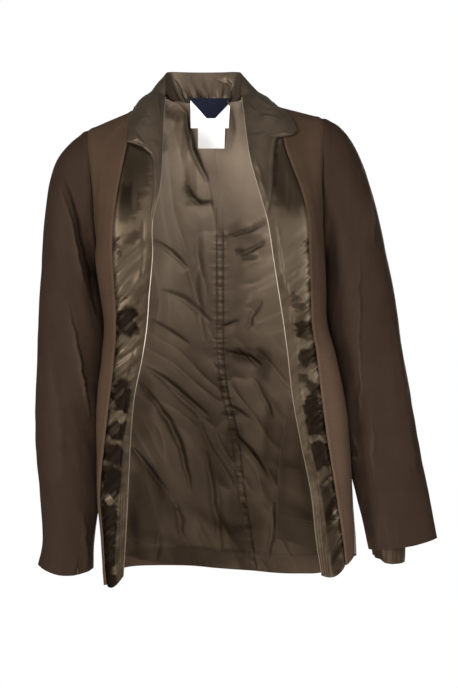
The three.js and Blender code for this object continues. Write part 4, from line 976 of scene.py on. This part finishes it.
    def back_lining(self, panel: Panel, tag: str) -> None:
        """The creased back lining, with its gathered centre seam."""
        levels, reaches = self.rows(310), np.linspace(0, 5, BACK_LINING_COLUMNS)
        base = panel.points(reaches, levels)
        n = panel.normals(base, reaches, levels)
        if self.side is Side.LEFT:
            share = smooth(0.35, 1, np.linspace(0, 1, len(reaches)))
            rise = (2 + 22 * share)[None, :] * smooth(14, 15, levels)[:, None]
        else:
            rise = 2 * np.ones_like(reaches)[None, :] * smooth(14, 15, levels)[:, None]
        base = base + np.array([0, 0, 1.0]) * rise[..., None]
        d, s = arc(base, 1), arc(base, 0)
        centre = np.broadcast_to(s[:, :1], d.shape)
        level = levels[:, None]
        folds, shade = crease_field(base, LINING_CREASES)
        z = base[..., 2]
        low, top = smooth(-250, -350, z), smooth(-120, -40, z)
        if self.side is Side.LEFT:
            flow = low * (1 - smooth(-420, -480, z)) * drape(base, -38, 80, 17, 101)
            flow = flow + smooth(-400, -470, z) * drape(base, -62, 90, 15, 111)
            flow = flow + 0.8 * (1 - low) * drape(base, -80, 110, 19, 121)
        else:
            flow = low * drape(base, -50, 70, 18, 131) * smooth(-290, -360, z)
            flow = flow + smooth(-110, -150, z) * (1 - low) * drape(base, 18, 46, 13, 141) * smooth(24, 48, d)
            flow = flow + 0.5 * (1 - smooth(-110, -150, z)) * drape(base, 84, 90, 17, 151)
        soft = 1.0 * noise(s / 44 + d / 70, d / 24, 61) + 0.12 * noise(s / 8, d / 7, 63)
        soft = soft + 2.0 * flow * (1 - 0.6 * top) - 0.6
        gate = smooth(5.3, 5.6, level)
        welt = 1.4 * smooth(5.6, 3.6, d) * gate
        ladder = noise(centre / 3.0, d / 30, 64) + 0.5 * noise(centre / 1.9, d / 20, 65)
        seam = welt + 1.2 * ladder * smooth(5.8, 3.6, d) * gate
        pull = noise(centre / 3.0 + d / 26, d / 40, 64) * np.exp(-np.clip(d - 5, 0, None) / 4) * smooth(4.5, 6, d)
        gather = 1.0 * pull * gate - 0.35 * np.exp(-(((d - 6.2) / 1.3) ** 2)) * gate
        # Painted light and shade: light and shade on the centre seam's gathered rungs, lighter high and darker low,
        # shade in the hollows, painted shadows, shade on the creases' steep sides, and highlights on the creases and
        # drape crests.
        tone = 1 + gate * (0.34 * np.clip(ladder, -1, 1) * smooth(6, 4.6, d) - 0.14 * np.exp(-(((d - 5.6) / 1) ** 2)))
        tone = tone * lining_light(z) * painted_light_patches(base, LINING_HOLLOW_SHADE, 1.2, 67)
        tone = tone * painted_shadows(base, LINING_SHADOWS, 69)
        tone = tone * (1 - 0.5 * shade) * (1 + 0.02 * np.clip(folds, 0, 6)) * (0.88 + 0.3 * flow)
        facing = -1.1 * np.exp(-(((s[-1:] - s - 24) / 1.8) ** 2))
        hem = 0.5 * noise(d / 9, s / 40, 66) * smooth(14.2, 14.8, level)
        lift = -LINING_INSET - np.clip(folds, 0, 11) - np.clip(1.4 + soft, 0, 4) - seam - gather + facing * 0.8 - hem
        lift = np.minimum(lift, -LINING_INSET + 0.4)
        self.wardrobe.cloth(
            f"cloth_lining_back_{tag}", base + n * lift[..., None], n, LINING, [f"lining_back_{tag}"], "hung",
            [f"cloth_back_{tag}"], base, tone=tone,
        )


@dataclass
class Sleeve:
    """A two-piece sleeve lofted through rings from the armhole to the cuff."""

    side: Side
    wardrobe: Wardrobe

    @property
    def sign(self) -> float:
        """Turns the normals outward."""
        return -1.0 if self.side is Side.LEFT else 1.0

    def points(self, table: Sequence, degrees: Array, rings: Array) -> Array:
        """(rings, degrees, 3) points in millimetres."""
        outer = through(np.array([row[0] for row in table], float)[:, None], rings)[0]
        inner = through(np.array([row[1] for row in table], float)[:, None], rings)[0]
        numbers = np.arange(len(table))
        depth = np.interp(rings, numbers, [row[2] for row in table])[:, None]
        dip = np.interp(rings, numbers, [row[3] for row in table])[:, None]
        a = np.radians(degrees)[None, :]
        centre, up = (outer + inner) / 2, (outer - inner) / 2
        p = centre[:, None] + up[:, None] * np.cos(a)[..., None]
        p[..., 1] -= depth * np.sin(a)
        p[..., 2] -= dip * np.sin(a) ** 2
        return p

    def build(self) -> None:
        """Makes the top and under sleeve, and the lining that shows below the right cuff."""
        tag, table = self.side.value, SLEEVES[self.side]
        last = len(table) - 1
        for name, low, high, rows, count in (("top", -105, 120, 200, 90), ("under", 120, 255, 160, 44)):
            degrees, rings = np.linspace(low, high, count), np.linspace(0, last, rows)
            base = self.points(table, degrees, rings)
            n = grid_normals(base, self.sign)
            s, d = arc(base, 0), arc(base, 1)
            edge = np.minimum(d, d[:, -1:] - d)
            front = smooth(10, -12, base[..., 1])
            folds, shade = crease_field(base, SLEEVE_CREASES[self.side])
            folds = folds * smooth(0, 1, front * 2)
            # Painted light and shade: dark crease troughs and steep sides, light ridges, darker towards the back,
            # lighter where the sleeve turns toward the body.
            fold_tone = 0.085 * np.clip(folds, -6, 0) + 0.13 * np.clip(folds, 0, 5)
            tone = (1 + fold_tone) * (1 - 0.32 * smooth(8, 26, base[..., 1]))
            tone = tone * (1 - 0.5 * shade * front)
            inward = np.clip(self.sign * -n[..., 0], 0, 1)
            tone = tone * (1 + 1.6 * inward**2)
            lift = folds - 0.12 * np.exp(-((edge / 1.2) ** 2))
            lift = lift - 1.2 * np.exp(-((s / 2.6) ** 2)) + 0.9 * np.exp(-(((s - 7) / 5) ** 2))
            round_arm = np.broadcast_to(0.87 * degrees, s.shape)
            back_seam = smooth(0, 12, d if name == "top" else d[:, -1:] - d)
            ease = (1.1 * noise(s / 58, round_arm / 26, 71) + 0.45 * noise(s / 20, round_arm / 17, 73)) * back_seam
            lift = lift + ease * smooth(0.2, 2, rings)[:, None]
            cuff = smooth(last - 1.6, last, rings)[:, None]
            lift = lift + 0.8 * cuff * noise(d / 6.5, s / 70, 75)
            self.wardrobe.cloth(
                f"cloth_{name}_sleeve_{tag}", base + n * lift[..., None], n, SHADED_SLEEVE_SHELL, [f"{name}_sleeve_{tag}"],
                "hung", [f"cloth_front_{tag}", f"cloth_back_{tag}"], base, tone=tone,
            )
        if self.side is Side.RIGHT:
            self.cuff_lining()

    def cuff_lining(self) -> None:
        """The loose end of the sleeve lining."""
        degrees, rings = np.linspace(0, 360, 84, endpoint=False), np.linspace(0, 3, 48)
        base = self.points(CUFF_LINING, degrees, rings)
        a = np.radians(degrees)
        n = np.broadcast_to(np.stack([np.cos(a), -np.sin(a), 0 * a], axis=-1), base.shape)
        s = arc(base, 0)
        turn = np.broadcast_to(degrees / 13.0, s.shape)
        loose = smooth(0.4, 2, rings)[:, None]
        wave = (1.6 * noise(turn, s / 60, 81) + 0.8 * noise(turn * 2.1, s / 30, 82)) * loose
        wave[:, -6:] = wave[:, :1] * np.linspace(0, 1, 6) + wave[:, -7:-6] * np.linspace(1, 0, 6)
        p = base + n * (wave - 2.0 * (1 - loose))[..., None]
        p[..., 2] -= 1.2 * loose * noise(turn * 0.6, 0 * s, 83)
        # Painted shade inside the cuff, lighter on the crests of the waves.
        self.wardrobe.cloth(
            "cloth_sleeve_lining_right", p, n, LINING, ["sleeve_lining_right"], "hung",
            ["cloth_top_sleeve_right"], base, ring=True, tone=0.4 + 0.14 * wave,
        )


@dataclass
class Collar:
    """The satin collar: stand, fall and the strips turned back down the fronts."""

    wardrobe: Wardrobe

    def lapel(self, side: Side, parts: Array) -> tuple[Array, Array]:
        """Rows from the neck point down one front."""
        table = np.array(LAPELS[side], float)
        panel = Panel(side, Face.FRONT)
        steps = np.arange(len(table))
        at = np.linspace(0, len(table) - 1, 120)
        level = np.interp(at, steps, table[:, 0])
        reach = np.interp(at, steps, table[:, 1])
        rise = np.interp(at, steps, table[:, 2])
        lattice = np.linspace(0, 1.7, 90)
        p = panel.points(lattice, level)
        n = panel.normals(p, lattice, level)
        points, normals = [], []
        for row in range(len(at)):
            where = parts * reach[row]
            points.append(np.stack([np.interp(where, lattice, p[row, :, k]) for k in range(3)], axis=-1))
            normals.append(np.stack([np.interp(where, lattice, n[row, :, k]) for k in range(3)], axis=-1))
        base, n = np.array(points), unit(np.array(normals))
        lift = 1.9 + rise[:, None] * np.sin(math.pi * parts)[None, :]
        return base + n * lift[..., None], n

    def ring(self, parts: Array) -> tuple[Array, Array]:
        """Rows round the neck, left neck point to right."""
        at = np.linspace(0, len(NECK_RING) - 1, 150)
        crest = through(np.array([row[0] for row in NECK_RING], float)[:, None], at)[0]
        leaf = through(np.array([row[1] for row in NECK_RING], float)[:, None], at)[0]
        swell = np.interp(at, np.arange(len(NECK_RING)), [row[2] for row in NECK_RING])
        chord = leaf - crest
        run = np.hypot(chord[:, 0], chord[:, 1])
        away = np.stack([-chord[:, 0] * chord[:, 2] / run, -chord[:, 1] * chord[:, 2] / run, run], axis=-1)
        away = unit(away)
        bend = np.sin(math.pi * parts)
        p = crest[:, None] + chord[:, None] * parts[None, :, None] + away[:, None] * (swell[:, None] * bend)[..., None]
        tilt = math.pi * swell[:, None] * np.cos(math.pi * parts) / np.linalg.norm(chord, axis=1)[:, None]
        n = unit(away[:, None] - unit(chord)[:, None] * tilt[..., None])
        return p, n

    def build(self) -> None:
        """Makes the fall and the stand."""
        parts = np.linspace(0, 1, 30)
        left, left_n = self.lapel(Side.LEFT, parts)
        right, right_n = self.lapel(Side.RIGHT, parts)
        neck, neck_n = self.ring(parts)
        base = np.concatenate([left[::-1][:-1], neck, right[1:]])
        n = np.concatenate([left_n[::-1][:-1], neck_n, right_n[1:]])
        s, d = arc(base, 0)[:, :1], arc(base, 1)
        rim = np.clip(d[:, -1:] - d, 0, None)
        total = s[-1, 0]
        middle = smooth(0.12, 0.3, s / total) * (1 - smooth(0.7, 0.88, s / total))
        ease = 1.5 * noise(s / 24, d / 18, 91) + 0.7 * noise(s / 9, d / 12, 92)
        roll = 0.9 * np.exp(-(((rim - 2.5) / 2.2) ** 2))
        body = np.sin(math.pi * np.clip(d / np.maximum(d[:, -1:], 1), 0, 1))
        p = base + n * (np.clip(ease, -1.2, 2.4) * body * (0.3 + 0.7 * middle) + roll)[..., None]
        folds, shade = crease_field(base, COLLAR_CREASES)
        front = smooth(20, 0, base[..., 1])
        p = p + n * (np.clip(folds, 0, 4) * front)[..., None]
        # Painted shade on the creases' steep sides, with a random unevenness of colour.
        tone = (1 - 0.45 * shade * front) * (1 + 0.12 * noise(s / 17, d / 12, 93))
        self.wardrobe.cloth("cloth_collar_fall", p + n * 1.0, n, COLLAR, ["collar_fall"], "folded",
                            ["cloth_collar_stand"], base, thickness=1.2, tone=tone)
        self.stand()

    def stand(self) -> None:
        """The stand inside the neck, gathered into the neck seam."""
        last = len(NECK_RING) - 1
        at = np.linspace(0.4, last - 0.4, 320)
        half = last / 2
        foot = np.zeros((len(at), 3))
        for side in Side:
            mine = (at < half) if side is Side.LEFT else (at >= half)
            reach = 2 * np.abs(at[mine] - half) / half
            foot[mine] = Panel(side, Face.BACK).points(reach, np.array([0.0]))[0]
        foot[:, 2] -= 3.2
        top = through(np.array([row[0] for row in NECK_RING], float)[:, None], at)[0]
        top[:, 2] += 0.2
        turn = (at - half) / half
        n = unit(np.stack([1.3 * turn**3 + 0.4 * turn, 1 - 0.9 * turn**4, 0 * turn], axis=-1))
        share = np.linspace(0, 1, 26)
        base = foot[:, None] + (top - foot)[:, None] * share[None, :, None]
        n = np.broadcast_to(n[:, None], base.shape)
        s, d = arc(base, 0)[:, :1], arc(base, 1)
        gather = np.clip(noise(s / 5.2 + 0.2 * d / 5, d / 60, 95), -0.2, 1) + 0.5 * noise(s / 3.1, d / 40, 96)
        fade = np.exp(-((d / 17) ** 2)) * smooth(0.02, 0.16, (s / s[-1, 0])) * (1 - smooth(0.84, 0.98, s / s[-1, 0]))
        ease = 0.9 * noise(s / 26, d / 22, 97)
        folds, shade = crease_field(base, STAND_CREASES)
        inward = folds + 3.4 * np.exp(-((d / 5) ** 2)) + 2.6 * gather * fade + ease * np.sin(math.pi * share)[None, :]
        p = base - n * inward[..., None]
        # Painted shade in narrow vertical troughs by the neck seam and on the creases' steep sides, on a colour painted
        # a quarter lighter.
        trough = smooth(-0.1, 0.45, noise(s / 3.4 + 0.02 * d, d / 60, 98) + 0 * d) * np.exp(-((d / 27) ** 2))
        tone = 1.25 * (1 - 0.72 * trough) * (1 - 0.4 * shade)
        self.wardrobe.cloth("cloth_collar_stand", p, n, COLLAR, ["collar_stand"], "gathered", (), base, tone=tone)


@dataclass(frozen=True)
class LabelCut:
    """A flat tape, by its corners in the plane of the photo, in millimetres.

    Attributes:
        name: the piece.
        node: the solid it stands for.
        top: left x, right x and z of the upper edge.
        bottom: left x, right x and z of the lower edge.
        clear: how far it stands in front of the lining.
        finish: its cloth.
    """

    name: str
    node: str
    top: tuple
    bottom: tuple
    clear: float
    finish: Finish


LABELS = (
    LabelCut("tape_care_wide", "label_care", (-23, 34.5, 26), (-23, 32, -13), 1.0, WHITE),
    LabelCut("tape_care", "label_care", (-12.5, 27.5, 24), (-12.5, 26, -41), 2.0, WHITE),
    LabelCut("tape_neck", "label_neck", (-25.5, 39.5, 27.5), (0.5, 12.5, 0.2), 3.1, NAVY),
)


def build_labels(wardrobe: Wardrobe) -> None:
    """The blank tapes at the neck, hung flat in front of the back lining."""
    lining = np.concatenate(
        [cloth_grid(f"cloth_lining_back_{side.value}", BACK_LINING_COLUMNS).reshape(-1, 3) for side in Side]
    )
    mine = (lining[:, 0] > -26) & (lining[:, 0] < 38) & (lining[:, 2] > -44) & (lining[:, 2] < 16)
    slope, start = np.polyfit(lining[mine, 2], lining[mine, 1], 1)
    start += float((lining[mine, 1] - start - slope * lining[mine, 2]).min())
    for cut in LABELS:
        share, across = np.linspace(0, 1, 24)[:, None], np.linspace(0, 1, 30)[None, :]
        low = cut.top[0] + (cut.bottom[0] - cut.top[0]) * share
        high = cut.top[1] + (cut.bottom[1] - cut.top[1]) * share
        x = low + (high - low) * across
        z = cut.top[2] + (cut.bottom[2] - cut.top[2]) * share + 0 * x
        bow = 0.5 * np.cos((x - 6) / 24) + 0.25 * noise(z / 14, x / 12, 99)
        p = np.stack([x, start + slope * z - cut.clear - bow, z], axis=-1)
        n = grid_normals(p, 1.0)
        n = n * np.sign(-n[..., 1:2])
        wardrobe.cloth(cut.name, p, n, cut.finish, [cut.node], "laid",
                       ["cloth_lining_back_left", "cloth_lining_back_right"], p, thickness=0.4)


def cloth_grid(name: str, columns: int) -> Array:
    """The outer grid of a made cloth, in millimetres."""
    mesh = bpy.data.objects[name].data
    co = np.zeros(len(mesh.vertices) * 3, np.float32)
    mesh.vertices.foreach_get("co", co)
    return co.reshape(-1, 3)[: len(mesh.vertices) // 2].reshape(-1, columns, 3) / MM


class StitchRow:
    """A row of raised stitches along a line, made with geometry nodes."""

    def __init__(self, wardrobe: Wardrobe) -> None:
        self.wardrobe = wardrobe
        self.group = self.make_group()

    def make_group(self) -> bpy.types.GeometryNodeTree:
        """The node group: one small stitch at each step along the line."""
        g = bpy.data.node_groups.new("stitch_row", "GeometryNodeTree")
        face = g.interface
        face.new_socket("Geometry", in_out="INPUT", socket_type="NodeSocketGeometry")
        for name, value in (("Pitch", 0.0032), ("Length", 0.0021), ("Radius", 0.00032)):
            socket = face.new_socket(name, in_out="INPUT", socket_type="NodeSocketFloat")
            socket.default_value = value
        seed = face.new_socket("Seed", in_out="INPUT", socket_type="NodeSocketInt")
        seed.default_value = 3
        face.new_socket("Material", in_out="INPUT", socket_type="NodeSocketMaterial")
        face.new_socket("Geometry", in_out="OUTPUT", socket_type="NodeSocketGeometry")
        new, link = g.nodes.new, g.links.new
        given, made = new("NodeGroupInput"), new("NodeGroupOutput")
        curve = new("GeometryNodeMeshToCurve")
        resample = new("GeometryNodeResampleCurve")
        resample.mode = "LENGTH"
        tangent = new("GeometryNodeInputTangent")
        align = new("FunctionNodeAlignRotationToVector")
        align.axis = "Z"
        vary = new("FunctionNodeRandomValue")
        vary.data_type = "FLOAT"
        vary.inputs["Min"].default_value = 0.85
        vary.inputs["Max"].default_value = 1.12
        stitch = new("GeometryNodeMeshCylinder")
        stitch.inputs["Vertices"].default_value = 6
        place = new("GeometryNodeInstanceOnPoints")
        real = new("GeometryNodeRealizeInstances")
        paint = new("GeometryNodeSetMaterial")
        link(given.outputs["Geometry"], curve.inputs["Mesh"])
        link(curve.outputs["Curve"], resample.inputs["Curve"])
        link(given.outputs["Pitch"], resample.inputs["Length"])
        link(tangent.outputs["Tangent"], align.inputs["Vector"])
        link(given.outputs["Seed"], vary.inputs["Seed"])
        link(given.outputs["Length"], stitch.inputs["Depth"])
        link(given.outputs["Radius"], stitch.inputs["Radius"])
        link(resample.outputs["Curve"], place.inputs["Points"])
        link(stitch.outputs["Mesh"], place.inputs["Instance"])
        link(align.outputs["Rotation"], place.inputs["Rotation"])
        link([s for s in vary.outputs if s.enabled][0], place.inputs["Scale"])
        link(place.outputs["Instances"], real.inputs["Geometry"])
        link(real.outputs["Geometry"], paint.inputs["Geometry"])
        link(given.outputs["Material"], paint.inputs["Material"])
        link(paint.outputs["Geometry"], made.inputs["Geometry"])
        return g

    def sew(self, name: str, line: Array, finish: Finish, pitch: float = 0.0032) -> None:
        """Stitches along a line given in millimetres."""
        mesh = bpy.data.meshes.new(f"{name}_line")
        mesh.from_pydata((line * MM).tolist(), [(k, k + 1) for k in range(len(line) - 1)], [])
        carrier = bpy.data.objects.new(f"{name}_line", mesh)
        bpy.context.scene.collection.objects.link(carrier)
        modifier = carrier.modifiers.new("stitches", "NODES")
        modifier.node_group = self.group
        values = {"Pitch": pitch, "Length": pitch * 0.66, "Seed": 7, "Material": self.wardrobe.finish(finish)}
        for item in self.group.interface.items_tree:
            if item.in_out == "INPUT" and item.name in values:
                modifier[item.identifier] = values[item.name]
        bpy.context.view_layer.update()
        evaluated = carrier.evaluated_get(bpy.context.evaluated_depsgraph_get())
        sewn = bpy.data.meshes.new_from_object(evaluated)
        sewn.name = name
        paint_light_and_shade(sewn, np.ones(1))
        if not sewn.uv_layers:
            sewn.uv_layers.new(name="UVMap")
        carrier.modifiers.remove(modifier)
        bpy.data.objects.remove(carrier)
        self.wardrobe.place(bpy.data.objects.new(name, sewn), finish)


SEAM_STITCH_TOP = -128.0
HEM_FACING = 26.0
BAND_FACING = 32.0


def build_stitches(wardrobe: Wardrobe) -> None:
    """Double stitching of the centre seam and the stitched hem facings."""
    row = StitchRow(wardrobe)
    into = np.array([0, -THIN - 0.35, 0])
    for side in Side:
        tag = side.value
        grid = cloth_grid(f"cloth_lining_back_{tag}", BACK_LINING_COLUMNS)
        down, across = arc(grid[:, :1], 0)[:, 0], arc(grid, 1)
        start = int(np.argmin(np.abs(grid[:, 0, 2] - SEAM_STITCH_TOP)))
        seam = [grid[k, int(np.argmin(np.abs(across[k] - 4.6)))] for k in range(start, len(grid) - 2)]
        row.sew(f"stitch_centre_{tag}", np.array(seam) + into, THREAD)
        row.sew(f"stitch_hem_{tag}", grid[row_above(down, HEM_FACING), 6:-16] + into, THREAD)
        band = cloth_grid(f"cloth_band_{tag}", BAND_COLUMNS)
        down = arc(band[:, :1], 0)[:, 0]
        row.sew(f"stitch_band_{tag}", band[row_above(down, BAND_FACING), 2:18] + np.array([0, -0.3, 0]), THREAD)
    flap = cloth_grid("cloth_lining_front_right", FRONT_LINING_COLUMNS)
    down = arc(flap[:, -1:], 0)[:, 0]
    row.sew("stitch_vent", flap[row_above(down, HEM_FACING + 6), -22:-2] + into, THREAD)


def row_above(down: Array, height: float) -> int:
    """Row of a grid that lies a height above its last row."""
    return int(np.argmin(np.abs(down[-1] - down - height)))


def build_stage() -> None:
    """White world as the camera sees it, dim for reflections, with soft lamps and a floor."""
    world = bpy.data.worlds.new("studio")
    bpy.context.scene.world = world
    world.use_nodes = True
    nodes, links = world.node_tree.nodes, world.node_tree.links
    nodes.clear()
    out = nodes.new("ShaderNodeOutputWorld")
    seen, felt = nodes.new("ShaderNodeBackground"), nodes.new("ShaderNodeBackground")
    seen.inputs["Color"].default_value = (1, 1, 1, 1)
    seen.inputs["Strength"].default_value = 1.0
    felt.inputs["Color"].default_value = (1, 0.985, 0.96, 1)
    felt.inputs["Strength"].default_value = 0.3
    path, mix = nodes.new("ShaderNodeLightPath"), nodes.new("ShaderNodeMixShader")
    links.new(path.outputs["Is Camera Ray"], mix.inputs["Fac"])
    links.new(felt.outputs["Background"], mix.inputs[1])
    links.new(seen.outputs["Background"], mix.inputs[2])
    links.new(mix.outputs["Shader"], out.inputs["Surface"])
    lamps = (
        ("key", (-1.8, -2.2, 0.8), 0.9, 148.0),
        ("fill", (1.9, -2.2, 0.3), 1.1, 84.0),
        ("top", (0.1, -0.9, 1.9), 0.8, 11.0),
        ("low", (-0.1, -2.7, -1.0), 1.0, 46.0),
        ("back", (0.6, 2.6, -0.1), 1.6, 125.0),
    )
    for name, place, size, power in lamps:
        data = bpy.data.lights.new(name, "AREA")
        data.size, data.energy, data.color = size, power, (1, 0.985, 0.96)
        lamp = bpy.data.objects.new(name, data)
        lamp.location = place
        lamp.rotation_euler = (Vector((0.03, 0, -0.3)) - Vector(place)).to_track_quat("-Z", "Y").to_euler()
        bpy.context.scene.collection.objects.link(lamp)
    bpy.context.scene.view_settings.view_transform = "Standard"
    build_floor()


def build_floor() -> None:
    """A plain pale floor, well below the hanging garment and out of the camera's view."""
    half, height = 3.0, -1.6
    mesh = bpy.data.meshes.new("floor")
    mesh.from_pydata(
        [(-half, -half, height), (half, -half, height), (half, half, height), (-half, half, height)], [], [(0, 1, 2, 3)]
    )
    pale = bpy.data.materials.new("floor_pale")
    pale.use_nodes = True
    pale.node_tree.nodes["Principled BSDF"].inputs["Base Color"].default_value = (0.92, 0.915, 0.9, 1)
    pale.node_tree.nodes["Principled BSDF"].inputs["Roughness"].default_value = 0.9
    mesh.materials.append(pale)
    floor = bpy.data.objects.new("floor", mesh)
    bpy.context.scene.collection.objects.link(floor)


def build_camera() -> None:
    """The camera of the photograph: level, straight from the front."""
    data = bpy.data.cameras.new("camera")
    data.sensor_width, data.lens = 36.0, 92.34
    camera = bpy.data.objects.new("camera", data)
    camera.location = (0.0326, -2.5, -0.326)
    camera.rotation_euler = (math.radians(90), 0, 0)
    bpy.context.scene.collection.objects.link(camera)
    bpy.context.scene.camera = camera


def main() -> None:
    """Builds the blazer, its stage and its camera."""
    logging.basicConfig(level=logging.INFO, format="%(name)s: %(message)s")
    wardrobe = Wardrobe()
    for side in Side:
        Body(side, wardrobe).build()
        Sleeve(side, wardrobe).build()
    Collar(wardrobe).build()
    build_labels(wardrobe)
    build_stitches(wardrobe)
    build_stage()
    build_camera()


if __name__ == "__main__":
    main()
